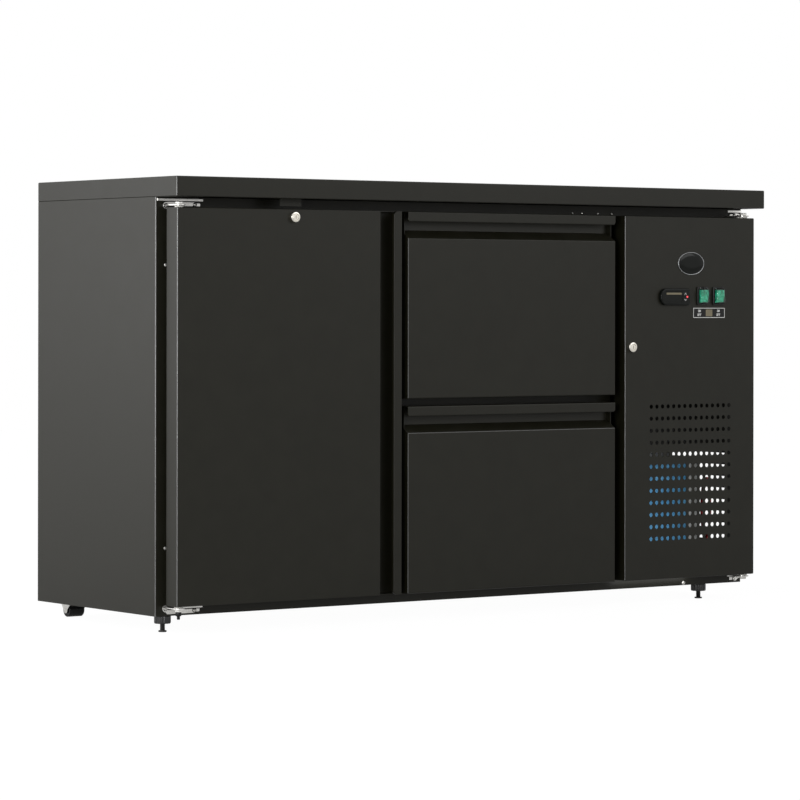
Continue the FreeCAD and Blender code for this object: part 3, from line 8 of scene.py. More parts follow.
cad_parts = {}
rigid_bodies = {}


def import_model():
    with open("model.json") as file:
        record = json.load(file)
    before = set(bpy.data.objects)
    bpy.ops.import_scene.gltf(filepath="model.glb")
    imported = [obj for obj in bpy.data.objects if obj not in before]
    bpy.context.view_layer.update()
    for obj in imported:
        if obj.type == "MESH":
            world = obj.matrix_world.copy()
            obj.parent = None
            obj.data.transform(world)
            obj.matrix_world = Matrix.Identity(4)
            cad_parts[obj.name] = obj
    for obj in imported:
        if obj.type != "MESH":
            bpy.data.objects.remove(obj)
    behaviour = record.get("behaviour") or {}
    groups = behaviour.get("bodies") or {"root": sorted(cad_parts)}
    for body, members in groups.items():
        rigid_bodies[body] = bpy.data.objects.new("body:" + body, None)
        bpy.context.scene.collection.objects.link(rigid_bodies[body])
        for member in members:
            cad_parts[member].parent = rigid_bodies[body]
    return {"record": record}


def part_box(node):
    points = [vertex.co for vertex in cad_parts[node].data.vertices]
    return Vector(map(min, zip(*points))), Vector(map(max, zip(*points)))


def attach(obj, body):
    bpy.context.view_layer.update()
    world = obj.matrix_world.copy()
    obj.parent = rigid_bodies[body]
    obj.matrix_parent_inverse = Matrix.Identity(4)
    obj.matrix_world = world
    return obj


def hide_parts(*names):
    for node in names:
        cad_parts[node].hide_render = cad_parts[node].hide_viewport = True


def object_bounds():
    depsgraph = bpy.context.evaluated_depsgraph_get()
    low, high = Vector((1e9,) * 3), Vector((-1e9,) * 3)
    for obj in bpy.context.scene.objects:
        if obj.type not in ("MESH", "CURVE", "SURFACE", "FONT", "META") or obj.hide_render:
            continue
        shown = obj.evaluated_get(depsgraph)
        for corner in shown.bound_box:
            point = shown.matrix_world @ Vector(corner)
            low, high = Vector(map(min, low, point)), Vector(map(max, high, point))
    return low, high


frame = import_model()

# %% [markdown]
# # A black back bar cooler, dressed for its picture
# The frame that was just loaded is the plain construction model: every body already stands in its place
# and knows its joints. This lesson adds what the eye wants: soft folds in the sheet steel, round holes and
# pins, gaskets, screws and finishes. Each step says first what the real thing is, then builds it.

frame_low, frame_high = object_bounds()
print("construction model:", [round(v, 3) for v in frame_high - frame_low], "m")

# %% [markdown]
# ## Places in millimetres
# Sheet metal is drawn in millimetres from a corner, and Blender counts in metres from the middle of the
# footprint. One small helper turns the first into the second, so the numbers below can be read like a
# workshop drawing: x along the front, y from the front to the back, z up.

# %% A place on the cooler
MM = 0.001


def at(x, y, z):
    """Point given in millimetres from the front left floor corner."""
    return Vector((frame_low.x + x * MM, frame_low.y + y * MM, z * MM))


def extent(node):
    """Lowest and highest corner of a construction piece, in the same millimetres."""
    low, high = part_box(node)
    corner = Vector((frame_low.x, frame_low.y, 0))
    return (low - corner) / MM, (high - corner) / MM


print("door skin runs from", extent("door_skin")[0], "to", extent("door_skin")[1])

# %% [markdown]
# ## The camera
# The picture was taken with a long lens, 36 degrees to the left of the front and at about three quarters
# of the cooler's height. A level camera keeps upright edges upright. The frame is moved down by lens shift
# and not by tilting, which would make the uprights lean together.

# %% Camera
def stand(name, data):
    """New object with some data, linked to the scene."""
    made = bpy.data.objects.new(name, data)
    bpy.context.scene.collection.objects.link(made)
    return made


camera_data = bpy.data.cameras.new("camera")
camera_data.lens = 160.11
camera_data.sensor_width = 36.0
camera_data.shift_y = -0.1238
camera_data.clip_end = 60.0
camera = stand("camera", camera_data)
turn, roll = math.radians(35.936), math.radians(-0.081)
camera.location = (-4.2858, -5.8706, 0.6267)
camera.rotation_euler = (math.pi / 2, roll, -turn)
bpy.context.scene.camera = camera
print("lens", round(camera_data.lens, 1), "mm, turned", round(math.degrees(turn), 1), "degrees")

# %% [markdown]
# ## Nodes in few words
# Every finish below is a small network of shader nodes. Placing a node, setting it up and filling its
# inputs takes many lines, so one helper does the three together, and short ones stand for the nodes that
# come up again and again. An input may get a plain value or the output of another node.

# %% Helpers for shader nodes
def place(tree, kind, inputs=None, **settings):
    """Add a shader node, set it up, and fill or link its inputs by name or number."""
    made = tree.nodes.new(kind)
    for name, value in settings.items():
        setattr(made, name, value)
    for name, value in (inputs or {}).items():
        if isinstance(value, bpy.types.NodeSocket):
            tree.links.new(value, made.inputs[name])
        else:
            made.inputs[name].default_value = value
    return made


def ramp(tree, value, low, high, start=0.0, end=1.0):
    """Spread what lies between low and high over the range from start to end."""
    inputs = {"Value": value, "From Min": low, "From Max": high, "To Min": start, "To Max": end}
    return place(tree, "ShaderNodeMapRange", inputs).outputs[0]


def reckon(tree, operation, first, second):
    """Sum, product or the larger of two values."""
    return place(tree, "ShaderNodeMath", {0: first, 1: second}, operation=operation).outputs[0]


def mix(tree, share, first, second):
    """Colour between two others, which are plain or come from other nodes."""
    return place(tree, "ShaderNodeMix", {0: share, 6: first, 7: second}, data_type="RGBA").outputs[2]


def own_place(tree):
    """Place on the object itself, so that a pattern moves along with it."""
    return place(tree, "ShaderNodeTexCoord").outputs["Object"]


def noise(tree, where, scale, detail):
    """Cloudy pattern between nought and one."""
    inputs = {"Vector": where, "Scale": scale, "Detail": detail}
    return place(tree, "ShaderNodeTexNoise", inputs).outputs["Fac"]


print("node helpers ready")

# %% [markdown]
# ## Effects that several finishes share
# Grain, wear, dust and crystals look alike wherever they occur. Each is built once as a node group with
# named inputs, and a material places it with its own values. Copies of the nodes would look the same, but a
# change would then have to be made in each of them.

# %% Helpers for node groups
groups = {}


def new_group(name, inputs, outputs):
    """Node group with named inputs, given with their usual values, and named outputs."""
    group = bpy.data.node_groups.new(name, "ShaderNodeTree")
    for label, value in inputs.items():
        kind = "NodeSocketVector" if isinstance(value, tuple) else "NodeSocketFloat"
        group.interface.new_socket(label, in_out="INPUT", socket_type=kind).default_value = value
    for label in outputs:
        group.interface.new_socket(label, in_out="OUTPUT", socket_type="NodeSocketFloat")
    groups[name] = group
    return group, group.nodes.new("NodeGroupInput").outputs, group.nodes.new("NodeGroupOutput").inputs


def use(tree, name, **inputs):
    """Place one of the groups and give it its values."""
    return place(tree, "ShaderNodeGroup", inputs, node_tree=groups[name])


def patchy(tree, mask, grain, limits, amount):
    """Break a mask up with noise of a scale and a detail, and weaken it to an amount."""
    patches = ramp(tree, noise(tree, own_place(tree), *grain), *limits)
    return reckon(tree, "MULTIPLY", reckon(tree, "MULTIPLY", mask, patches), amount)


print("group helpers ready")

# %% [markdown]
# ## Grain
# Powder coat has an orange peel of tiny bumps, rolled zinc has streaks, moulded plastic has a fine
# leathery grain. All of them are noise at a size and with a stretch of their own. So one group makes the
# grain, and each material gives it a scale and a stretch.

# %% Grain group
tree, given, wanted = new_group("grain", {"Scale": 900.0, "Stretch": (1.0, 1.0, 1.0)}, ["Height", "Tone"])
drawn = place(tree, "ShaderNodeVectorMath", {0: own_place(tree), 1: given["Stretch"]}, operation="MULTIPLY")
wide_scale = reckon(tree, "MULTIPLY", given["Scale"], 0.04)
tree.links.new(noise(tree, drawn.outputs[0], given["Scale"], 2.0), wanted["Height"])
tree.links.new(noise(tree, drawn.outputs[0], wide_scale, 4.0), wanted["Tone"])
print("grain group has", len(tree.nodes), "nodes")

# %% [markdown]
# ## Rubbed edges
# Handling polishes the edges of a plated part first. Blender's pointiness tells how sharply a surface bends
# at a place. It is broken up with noise, because wear is never even. A painted mask would look the same,
# but it would have to be painted anew for each piece.

# %% Edge group
tree, given, wanted = new_group("rubbed_edge", {"Amount": 0.5}, ["Mask"])
ridge = ramp(tree, place(tree, "ShaderNodeNewGeometry").outputs["Pointiness"], 0.52, 0.6)
tree.links.new(patchy(tree, ridge, (45.0, 5.0), (0.35, 0.65), given["Amount"]), wanted["Mask"])
print("edge group has", len(tree.nodes), "nodes")

# %% [markdown]
# ## Dust
# Dust settles on what faces up and stays away from what faces down. The upward part of the surface
# normal, broken by noise, is a mask for it. The worktop is wiped, so it gets little, and the pieces in
# the machine compartment get much.

# %% Dust group
tree, given, wanted = new_group("settled_dust", {"Amount": 0.3}, ["Mask"])
facing = place(tree, "ShaderNodeSeparateXYZ", {0: place(tree, "ShaderNodeNewGeometry").outputs["Normal"]})
upward = ramp(tree, facing.outputs["Z"], 0.3, 1.0)
tree.links.new(patchy(tree, upward, (14.0, 6.0), (0.35, 0.75), given["Amount"]), wanted["Mask"])
print("dust group has", len(tree.nodes), "nodes")

# %% [markdown]
# ## Spangle
# Zinc that was dipped or rolled onto steel freezes into flat crystals, each a little lighter or darker
# than the next. Voronoi cells look the same, where noise would be too soft. The cell's own random colour
# gives its tone.

# %% Spangle group
tree, given, wanted = new_group("spangle", {"Scale": 90.0}, ["Tone"])
crystals = {"Vector": own_place(tree), "Scale": given["Scale"]}
cells = place(tree, "ShaderNodeTexVoronoi", crystals, feature="F1")
tone = place(tree, "ShaderNodeSeparateColor", {0: cells.outputs["Color"]})
tree.links.new(tone.outputs[0], wanted["Tone"])
print("spangle group has", len(tree.nodes), "nodes")

# %% [markdown]
# ## One recipe for all finishes
# Paint, zinc, plastic and rubber differ in their numbers more than in their make-up: two tones mixed by a
# mottle, dust over them, a roughness that follows the mottle and a bump from the grain. The recipe takes
# these numbers. Values that are the same all over go straight to the shader's own sockets.

# %% The recipe
MOTTLE = (0.3, 0.7)
DUST_COLOUR = (0.36, 0.34, 0.31, 1.0)
finishes = {}


def fresh_tree(owner):
    """Empty node tree of a material or of the sky."""
    owner.use_nodes = True
    owner.node_tree.nodes.clear()
    return owner.node_tree


def finish(name, dark, light, roughness, metallic=0.0, scale=900.0, stretch=(1, 1, 1), bump=0.01,
           spread=0.12, dust=0.0, rub=0.0, spangle=0.0, **shader_values):
    """Make a named material from two tones and the groups above."""
    finishes[name] = bpy.data.materials.new(name)
    tree = fresh_tree(finishes[name])
    grain = use(tree, "grain", Scale=scale, Stretch=stretch)
    tone = grain.outputs["Tone"]
    if spangle:
        crystals = use(tree, "spangle", Scale=spangle).outputs["Tone"]
        tone = reckon(tree, "MULTIPLY", reckon(tree, "ADD", tone, crystals), 0.5)
    paint = mix(tree, ramp(tree, tone, *MOTTLE), (*dark, 1.0), (*light, 1.0))
    gloss = ramp(tree, tone, *MOTTLE, roughness - spread, roughness + spread)
    if rub:
        bright = [min(1.0, 3.0 * tint + 0.12) for tint in light]
        paint = mix(tree, use(tree, "rubbed_edge", Amount=rub).outputs[0], paint, (*bright, 1.0))
    if dust:
        paint = mix(tree, use(tree, "settled_dust", Amount=dust).outputs[0], paint, DUST_COLOUR)
    relief = {"Height": grain.outputs["Height"], "Strength": 1.0, "Distance": bump * MM}
    normal = place(tree, "ShaderNodeBump", relief).outputs[0]
    body = {"Base Color": paint, "Roughness": gloss, "Metallic": metallic, "Normal": normal}
    shader = place(tree, "ShaderNodeBsdfPrincipled", body)
    for label, value in shader_values.items():
        shader.inputs[label.replace("_", " ")].default_value = value
    place(tree, "ShaderNodeOutputMaterial", {"Surface": shader.outputs[0]})


print("recipe ready")

# %% [markdown]
# ## Black powder coat
# The cabinet is sheet steel, sprayed with black powder and baked. It is not quite black: it has a slightly
# warm, very dark tone, a soft sheen and a fine peel. Most of what is seen on it is reflected light, so
# roughness and specular level matter more than its colour.

# %% Painted steel
finish("black_steel", (0.0070, 0.0066, 0.0032), (0.0086, 0.0082, 0.0044), 0.40, scale=700.0, bump=0.02,
       spread=0.02, dust=0.015, Specular_IOR_Level=0.23)
# A lighter, glossier copy of the paint: a painted highlight for the folds where a line of light shows.
finish("fold_highlight", (0.016, 0.016, 0.015), (0.022, 0.022, 0.021), 0.30, scale=700.0, spread=0.04,
       Specular_IOR_Level=0.8, Coat_Weight=0.6, Coat_Roughness=0.2)
finish("black_paint", (0.006, 0.006, 0.006), (0.011, 0.011, 0.011), 0.28, scale=400.0, bump=0.05,
       spread=0.05, dust=0.25)
finish("motor", (0.05, 0.05, 0.055), (0.09, 0.09, 0.095), 0.45, scale=500.0, bump=0.03, dust=0.2)
print(len(finishes), "paints")

# %% [markdown]
# ## Bare metals
# The hinges, slides and brackets are zinc plated, the inner walls are rolled aluminium, the divider is
# stainless, the shelf is plated wire and the locks are nickel. Rolled metal is streaked along its length,
# plated metal is mottled, and dipped metal shows crystals.

# %% Metals
finish("zinc", (0.52, 0.51, 0.48), (0.74, 0.73, 0.70), 0.30, 1.0, scale=500.0, rub=0.3)
finish("galvanised", (0.38, 0.39, 0.40), (0.60, 0.61, 0.62), 0.42, 1.0, scale=300.0, spangle=110.0, dust=0.2)
finish("liner", (0.56, 0.57, 0.58), (0.68, 0.69, 0.70), 0.38, 1.0, scale=260.0, bump=0.25, spread=0.08)
finish("stainless", (0.55, 0.55, 0.54), (0.64, 0.64, 0.63), 0.34, 1.0, scale=1500.0, stretch=(1, 0.04, 1),
       bump=0.002, spread=0.03)
finish("wire", (0.62, 0.62, 0.63), (0.80, 0.80, 0.81), 0.16, 1.0, scale=300.0, bump=0.004, spread=0.05)
finish("nickel", (0.60, 0.57, 0.50), (0.80, 0.77, 0.70), 0.20, 1.0, scale=600.0, bump=0.004, spread=0.05)
finish("copper", (0.62, 0.28, 0.15), (0.86, 0.46, 0.28), 0.30, 1.0, scale=120.0)
finish("fins", (0.08, 0.29, 0.50), (0.17, 0.43, 0.64), 0.40, 0.35, scale=400.0, bump=0.02)
finish("coated_plate", (0.42, 0.43, 0.42), (0.54, 0.55, 0.54), 0.55, 0.3, scale=300.0, bump=0.02, dust=0.1)
print(len(finishes), "finishes so far")

# %% [markdown]
# ## Plastics, rubber and foam
# The controller and the switch frames are black plastic with a fine grain. The rockers are clear green so
# that a lamp can shine through. The gasket is soft vinyl, dark and slightly blue. The insulation is pale
# foam, seen only where a hole is cut into it.

# %% Soft and moulded finishes
finish("black_plastic", (0.005, 0.005, 0.005), (0.009, 0.009, 0.009), 0.30, scale=1400.0, bump=0.02,
       Specular_IOR_Level=0.22)
finish("grey_plastic", (0.34, 0.35, 0.36), (0.46, 0.47, 0.48), 0.45, bump=0.02, dust=0.1)
finish("red_plastic", (0.50, 0.010, 0.014), (0.70, 0.025, 0.03), 0.35, scale=300.0)
finish("nylon", (0.66, 0.65, 0.60), (0.80, 0.79, 0.75), 0.40, scale=600.0)
finish("gasket", (0.016, 0.020, 0.024), (0.030, 0.036, 0.042), 0.42, scale=500.0, bump=0.02)
finish("foam", (0.70, 0.60, 0.36), (0.84, 0.76, 0.54), 0.85, scale=500.0, bump=0.3)
finish("door_liner", (0.70, 0.70, 0.69), (0.80, 0.80, 0.79), 0.28, scale=200.0, bump=0.03, spread=0.05)
finish("white_key", (0.76, 0.76, 0.75), (0.86, 0.86, 0.85), 0.35)
finish("white_print", (0.62, 0.62, 0.60), (0.72, 0.72, 0.70), 0.5, bump=0.002)
finish("dark_window", (0.003, 0.004, 0.003), (0.005, 0.006, 0.005), 0.12, scale=200.0, bump=0.002,
       spread=0.03, Specular_IOR_Level=0.15)
finish("olive_strip", (0.13, 0.11, 0.065), (0.20, 0.17, 0.10), 0.35, scale=600.0, bump=0.005)
finish("green_lens", (0.0, 0.10, 0.05), (0.10, 0.72, 0.46), 0.12, scale=5200.0, bump=0.3, spread=0.04,
       Coat_Weight=0.5, Emission_Strength=0.14, Emission_Color=(0.0, 0.60, 0.34, 1.0))
finish("lamp_red", (0.6, 0.02, 0.03), (0.8, 0.05, 0.06), 0.2, scale=300.0,
       Emission_Strength=0.8, Emission_Color=(1.0, 0.08, 0.10, 1.0))
finish("clear_boot", (0.60, 0.72, 0.68), (0.72, 0.82, 0.78), 0.06, scale=300.0, spread=0.03,
       Transmission_Weight=1.0, IOR=1.25, Specular_IOR_Level=0.2)
print(len(finishes), "finishes in all")

# %% [markdown]
# ## Outlines
# Nearly every part starts as a flat outline: an arc, a circle, or a rectangle with square or round corners.
# Curves could be drawn with Blender's curve objects, but lists of points are easier to join, shift and cut.

# %% Arcs, circles and rectangles
def arc(centre, radius, start, end, steps):
    """Points along an arc, with angles in degrees."""
    angles = [math.radians(start + (end - start) * step / steps) for step in range(steps + 1)]
    return [(centre[0] + radius * math.cos(angle), centre[1] + radius * math.sin(angle)) for angle in angles]


def circle(centre, radius, steps=24):
    """Closed round outline."""
    return arc(centre, radius, 0, 360.0 * (steps - 1) / steps, steps - 1)


def around(centre, wide, tall):
    """Two ranges that reach equally far to both sides of a centre."""
    return (centre[0] - wide, centre[0] + wide), (centre[1] - tall, centre[1] + tall)


def square(u, v):
    """Closed outline of a rectangle from u[0] to u[1] and v[0] to v[1]."""
    return [(u[0], v[0]), (u[1], v[0]), (u[1], v[1]), (u[0], v[1])]


def rounded(u, v, radius, steps=4):
    """The same with round corners."""
    (a, b), (c, d), r = u, v, radius
    outline = arc((b - r, c + r), r, -90, 0, steps) + arc((b - r, d - r), r, 0, 90, steps)
    return outline + arc((a + r, d - r), r, 90, 180, steps) + arc((a + r, c + r), r, 180, 270, steps)


print("a rounded rectangle has", len(rounded((0, 20), (0, 10), 2)), "points")

# %% [markdown]
# ## The section of a folded sheet
# A folded sheet has the same thickness everywhere, and its bends are arcs, never sharp corners. These arcs
# are what catches the light along each fold. So the middle line of the sheet is bent first, and then set
# off to both sides by half the thickness.

# %% Folded sheet
BEND_STEPS = 5


def directions(stops, number):
    """Directions in which a line reaches a stop and leaves it."""
    ahead = (stops[min(number + 1, len(stops) - 1)] - stops[number]).normalized()
    behind = (stops[number] - stops[max(number - 1, 0)]).normalized()
    return behind if number else ahead, ahead if number + 1 < len(stops) else behind


def bent_line(stops, radius):
    """Open line with its corners rounded: pairs of a point and the direction to its left."""
    line = []
    for number, stop in enumerate(stops):
        way_in, way_out = directions(stops, number)
        left = Vector((-way_in.y, way_in.x))
        if number in (0, len(stops) - 1):
            line.append((stop, left))
            continue
        bend = way_in.angle_signed(way_out)
        side = -1 if bend > 0 else 1
        middle = stop - way_in * (radius * math.tan(abs(bend) / 2)) + left * radius * side
        for step in range(BEND_STEPS + 1):
            swing = Matrix.Rotation(-bend * step / BEND_STEPS, 2)
            line.append((middle + swing @ (-left * radius * side), swing @ left))
    return line


def sheet_section(points, thickness, radius):
    """Closed section of a folded sheet whose left face runs through the points."""
    half = thickness / 2
    stops = [Vector(point) for point in points]
    centre_line = []
    for number, stop in enumerate(stops):
        way_in, way_out = directions(stops, number)
        across = Vector((-way_in.y - way_out.y, way_in.x + way_out.x))
        centre_line.append(stop - across * half / (1 + way_in.dot(way_out)))
    line = bent_line(centre_line, radius)
    near_side = [point + left * half for point, left in line]
    far_side = [point - left * half for point, left in line]
    return [tuple(point) for point in near_side + far_side[::-1]]


print("a lip section has", len(sheet_section([(0, 55), (0, 18), (20, 18)], 1.2, 2.0)), "points")

# %% [markdown]
# ## From outlines to solids
# A loft skins a row of outlines. With two equal ones it is a bar, with growing ones a bulge, with circles a
# turned part, and closed on itself a ring or a frame. That covers nearly every part here, so the other
# helpers only prepare its outlines.

# %% Lofts, bars and turned parts
def lift(outline, axis, level):
    """Put a flat outline into space, square to an axis."""
    if axis == "x":
        return [(level, u, v) for u, v in outline]
    if axis == "y":
        return [(u, level, v) for u, v in outline]
    return [(u, v, level) for u, v in outline]


def loft(mesh, rings, closed=False):
    """Skin a row of rings. The ends get faces, or the last ring joins the first."""
    rows = [[mesh.verts.new(point) for point in ring] for ring in rings]
    pairs = list(zip(rows, rows[1:]))
    if closed:
        pairs.append((rows[-1], rows[0]))
    else:
        mesh.faces.new(rows[0])
        mesh.faces.new(rows[-1])
    for low, high in pairs:
        for number in range(len(low)):
            other = (number + 1) % len(low)
            mesh.faces.new((low[number], low[other], high[other], high[number]))


def bar(mesh, outline, axis, low, high):
    """Straight solid with the same outline at both ends."""
    loft(mesh, [lift(outline, axis, low), lift(outline, axis, high)])


def brick(mesh, x, y, z):
    """Plain block, used as a part of larger forms and as a cutter."""
    bar(mesh, square(x, y), "z", *z)


def turned(mesh, centre, axis, profile, steps=28):
    """Turned part: the profile lists a radius and a level along the axis for each ring."""
    loft(mesh, [lift(circle(centre, radius, steps), axis, level) for radius, level in profile])


print("loft helpers ready")

# %% [markdown]
# ## Trays, frames and round bars
# Trays, gaskets and switch frames are rows of round-cornered rectangles that shrink or grow with depth.
# Wires and pipes are circles carried along a path. Both are lofts again, and stay closed forms.

# %% Cushions, trays and tubes
def cushion(mesh, axis, u, v, rings, steps=4, closed=False):
    """Loft of round-cornered rectangles: each ring gives its inset, its level and its corner radius."""
    rows = []
    for inset, level, corner in rings:
        outline = rounded((u[0] + inset, u[1] - inset), (v[0] + inset, v[1] - inset), corner, steps)
        rows.append(lift(outline, axis, level))
    loft(mesh, rows, closed)


def pan(mesh, axis, u, v, levels, sheet, lip, radius, corner):
    """Folded tray, open at levels[0] behind a lip, with round edges at levels[1]."""
    mouth, face = levels
    side = 1 if face > mouth else -1
    inner = mouth + side * sheet
    rings = [(sheet, face - side * sheet), (sheet, inner), (lip, inner), (lip, mouth), (sheet, mouth)]
    rings.append((0, inner))
    rings += [(inset, face - side * (radius - rise)) for inset, rise in arc((radius, 0), radius, 180, 90, 4)]
    cushion(mesh, axis, u, v, [(inset, level, max(corner - inset, 0.3)) for inset, level in rings])


def tube(mesh, points, radius, sides=10, closed=False):
    """Round bar along a row of points."""
    stops = [Vector(point) for point in points]
    count = len(stops)
    rings = []
    up = None
    for number, stop in enumerate(stops):
        after = stops[(number + 1) % count] if closed else stops[min(number + 1, count - 1)]
        before = stops[number - 1] if closed else stops[max(number - 1, 0)]
        way = (after - before).normalized()
        if up is None:
            up = way.orthogonal().normalized()
        up = (up - way * up.dot(way)).normalized()
        across = way.cross(up)
        rings.append([stop + up * u + across * v for u, v in circle((0, 0), radius, sides)])
    loft(mesh, rings, closed)


def bent_path(points, radius, steps=6):
    """Path in space with its corners rounded."""
    stops = [Vector(point) for point in points]
    path = [stops[0]]
    for before, corner, after in zip(stops, stops[1:], stops[2:]):
        start = corner + (before - corner).normalized() * radius
        end = corner + (after - corner).normalized() * radius
        for step in range(steps + 1):
            t = step / steps
            path.append(start * (1 - t) ** 2 + corner * 2 * t * (1 - t) + end * t * t)
    return path + stops[-1:]


def join(mesh, other):
    """Add the faces of another mesh."""
    data = bpy.data.meshes.new("joined")
    other.to_mesh(data)
    other.free()
    mesh.from_mesh(data)
    bpy.data.meshes.remove(data)


print("tray and tube helpers ready")

# %% [markdown]
# ## Cutting holes
# Some openings are easier to cut than to draw, such as the 180 holes of the machine compartment's door. A
# boolean modifier subtracts one closed form from another. Its result is taken over as the mesh at once, so
# no modifier is left waiting.

# %% Carving
def carve(mesh, cutter):
    """Cut one closed form out of another and return the rest."""
    forms = []
    for source in (mesh, cutter):
        bmesh.ops.recalc_face_normals(source, faces=source.faces)
        data = bpy.data.meshes.new("carving")
        source.to_mesh(data)
        source.free()
        forms.append(stand("carving", data))
    cut = forms[0].modifiers.new("cut", "BOOLEAN")
    cut.operation = "DIFFERENCE"
    cut.solver = "EXACT"
    cut.object = forms[1]
    cut.use_self = True
    rest = bmesh.new()
    rest.from_object(forms[0], bpy.context.evaluated_depsgraph_get())
    for form in forms:
        data = form.data
        bpy.data.objects.remove(form)
        bpy.data.meshes.remove(data)
    return rest


print("carving ready")

# %% [markdown]
# ## Finishing a piece
# Each finished mesh is moved to its place, gets its material and is tied to the body that it moves with.
# A small bevel breaks its square edges. The weighted normal modifier then shades broad faces flat and
# narrow bends round, which is how folded steel looks. The narrow faces of the upright fold at the left edge
# of each black sheet get a painted highlight, a lighter and glossier copy of the paint, for the line of light
# that shows there. A height may be given for one more level fold that gets the same painted highlight.

# %% The piece helper
FOLD_AREA, FOLD_REACH, SLANT = 0.002, 0.005, 0.35
SHARP = math.radians(40)


def paint_fold_highlights(data, highlight_fold_level):
    """Give the painted highlight, a lighter and glossier copy of the paint, to the fold at the left edge, and
    to a level fold at one height if given.
    """
    data.materials.append(finishes["fold_highlight"])
    left = min(vert.co.x for vert in data.vertices)
    for face in data.polygons:
        x, y, z = (abs(part) for part in face.normal)
        upright = z < 0.2 and min(x, y) > SLANT and face.center.x < left + FOLD_REACH
        near_level = highlight_fold_level and abs(face.center.z - highlight_fold_level) < FOLD_REACH
        level = near_level and x < 0.2 and min(y, z) > SLANT
        if (upright or level) and face.area < FOLD_AREA:
            face.material_index = 1


def break_edges(made, width):
    """Small round bevel along every sharp edge."""
    bevel = made.modifiers.new("edge", "BEVEL")
    bevel.width = width * MM
    bevel.segments = 2
    bevel.limit_method = "ANGLE"
    bevel.angle_limit = SHARP


def piece(name, mesh, body, slot, stands_for=(), edge=0.0, material=None, highlight_fold_level=None):
    """Turn a mesh drawn in millimetres into a finished piece of the cooler."""
    bmesh.ops.recalc_face_normals(mesh, faces=mesh.faces)
    for vert in mesh.verts:
        vert.co = at(*vert.co)
    data = bpy.data.meshes.new(name)
    mesh.to_mesh(data)
    mesh.free()
    data.materials.append(finishes[material or slot])
    # Black sheets get a painted highlight on the upright fold at their left edge.
    if slot == "black_steel":
        paint_fold_highlights(data, highlight_fold_level)
    data.shade_smooth()
    made = stand(name, data)
    if edge:
        break_edges(made, edge)
    else:
        data.set_sharp_from_angle(angle=SHARP)
    made.modifiers.new("shading", "WEIGHTED_NORMAL").keep_sharp = not edge
    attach(made, body)
    if stands_for:
        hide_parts(*stands_for)
    return made


print("piece helper ready")

# %% [markdown]
# ## The pieces that stay
# The construction model's own back, base, posts, liner and brackets already have the right shape. Drawing
# them again would add nothing, so each only gets its finish, from the record's list. Folded and moulded
# parts have no razor edges either: those that show get a small bevel, and catch a little light with it.

# %% Finishes and soft edges for the construction model
subparts = frame["record"]["subparts"]
for entry in subparts:
    for slot in bpy.data.objects[entry["node"]].material_slots:
        slot.material = finishes[entry["material_slot"]]
softened = ("rocker_left", "rocker_right", "upper_drawer_box", "lower_drawer_box", "condenser_shroud",
            "machine_base", "evaporator_cover", "roller_brackets", "door_lock_cam", "panel_lock_cam")
for node in softened:
    break_edges(bpy.data.objects[node], 0.4)
print(len(subparts), "construction pieces dressed,", len(softened), "of them softened")

# %% [markdown]
# ## Worktop
# The top is one tray of sheet steel, folded down on four sides and hemmed inwards underneath. A block with
# a bevel would look like it from above, but is closed below. A pan with a lip is just the folded form, and
# its upper edges are round with the radius of the folding press.

# %% Worktop tray
WIDTH, DEPTH, HEIGHT = 1462.0, 513.0, 860.0
SIDE_FOOT, SIDE_TOP = 32.0, 822.0
SHEET, FOLD = 1.2, 2.2

mesh = bmesh.new()
pan(mesh, "z", (0, WIDTH), (0, DEPTH), (SIDE_TOP, HEIGHT), SHEET, 20.0, FOLD, 2.5)
piece("worktop_sheet", mesh, "cabinet", "black_steel", ["worktop"])
print("worktop", WIDTH, "by", DEPTH, "mm")

# %% [markdown]
# ## Side panels
# Each side is a sheet with its front and rear edges folded in, so it is drawn as the section of a folded
# sheet and pulled up. The right one has slots for the warm air of the machine compartment, cut with round
# ends as a punch does, at the pitch of the holes in the machine compartment's door.

# %% Side panels and their air slots
CASE_FRONT, SIDE_SHEET = 74.0, 1.0
SLOTS, FIRST_SLOT, ROW_PITCH = 8, 124.6, 24.8

left_line = [(42, CASE_FRONT), (0, CASE_FRONT), (0, DEPTH), (20, DEPTH)]
mesh = bmesh.new()
bar(mesh, sheet_section(left_line, SIDE_SHEET, FOLD), "z", SIDE_FOOT, SIDE_TOP)
piece("left_side_sheet", mesh, "cabinet", "black_steel", ["left_side_panel"])

right_line = [(WIDTH - 20, DEPTH), (WIDTH, DEPTH), (WIDTH, CASE_FRONT), (WIDTH - 40, CASE_FRONT)]
mesh, slots = bmesh.new(), bmesh.new()
bar(mesh, sheet_section(right_line, SIDE_SHEET, FOLD), "z", SIDE_FOOT, SIDE_TOP)
for row in range(SLOTS):
    level = FIRST_SLOT + ROW_PITCH * row
    bar(slots, rounded((116, 346), (level - 5.5, level + 5.5), 5.4, 6), "x", WIDTH - 5, WIDTH + 5)
piece("right_side_sheet", carve(mesh, slots), "cabinet", "black_steel", ["right_side_panel"])
print("side panels with", SLOTS, "air slots")

# %% [markdown]
# ## Fronts with a folded grip
# The door and both drawers have no handle. Their sheet dips into a channel along one edge, and a strip
# folded over the channel gives the fingers a lip to pull. The section is drawn lying down, across the
# front, and swept along the channel. Flat end walls close the channel.

# %% Section of a front
FACE, FLOOR, BACK = 18.0, 44.0, 55.0
GRIP_ZONE, GRIP_RISE, GRIP_DEPTH = 52.5, 16.0, 26.0
LIP, HEM, HEM_AT_END = 19.5, 7.0, 3.0
END_SETBACK, EASE = 14.0, 0.8
LIP_STEPS = 5


def slope_at(run, depth):
    """Place of the channel's slope at a depth behind the face."""
    return run - GRIP_ZONE + depth * GRIP_RISE / GRIP_DEPTH


def lip_section(run, reach, hem):
    """Section of the strip that closes the channel."""
    line = [(run - reach, FACE + hem), (run - reach, FACE), (run, FACE), (run, BACK)]
    return sheet_section(line[::-1], SHEET, 1.4)


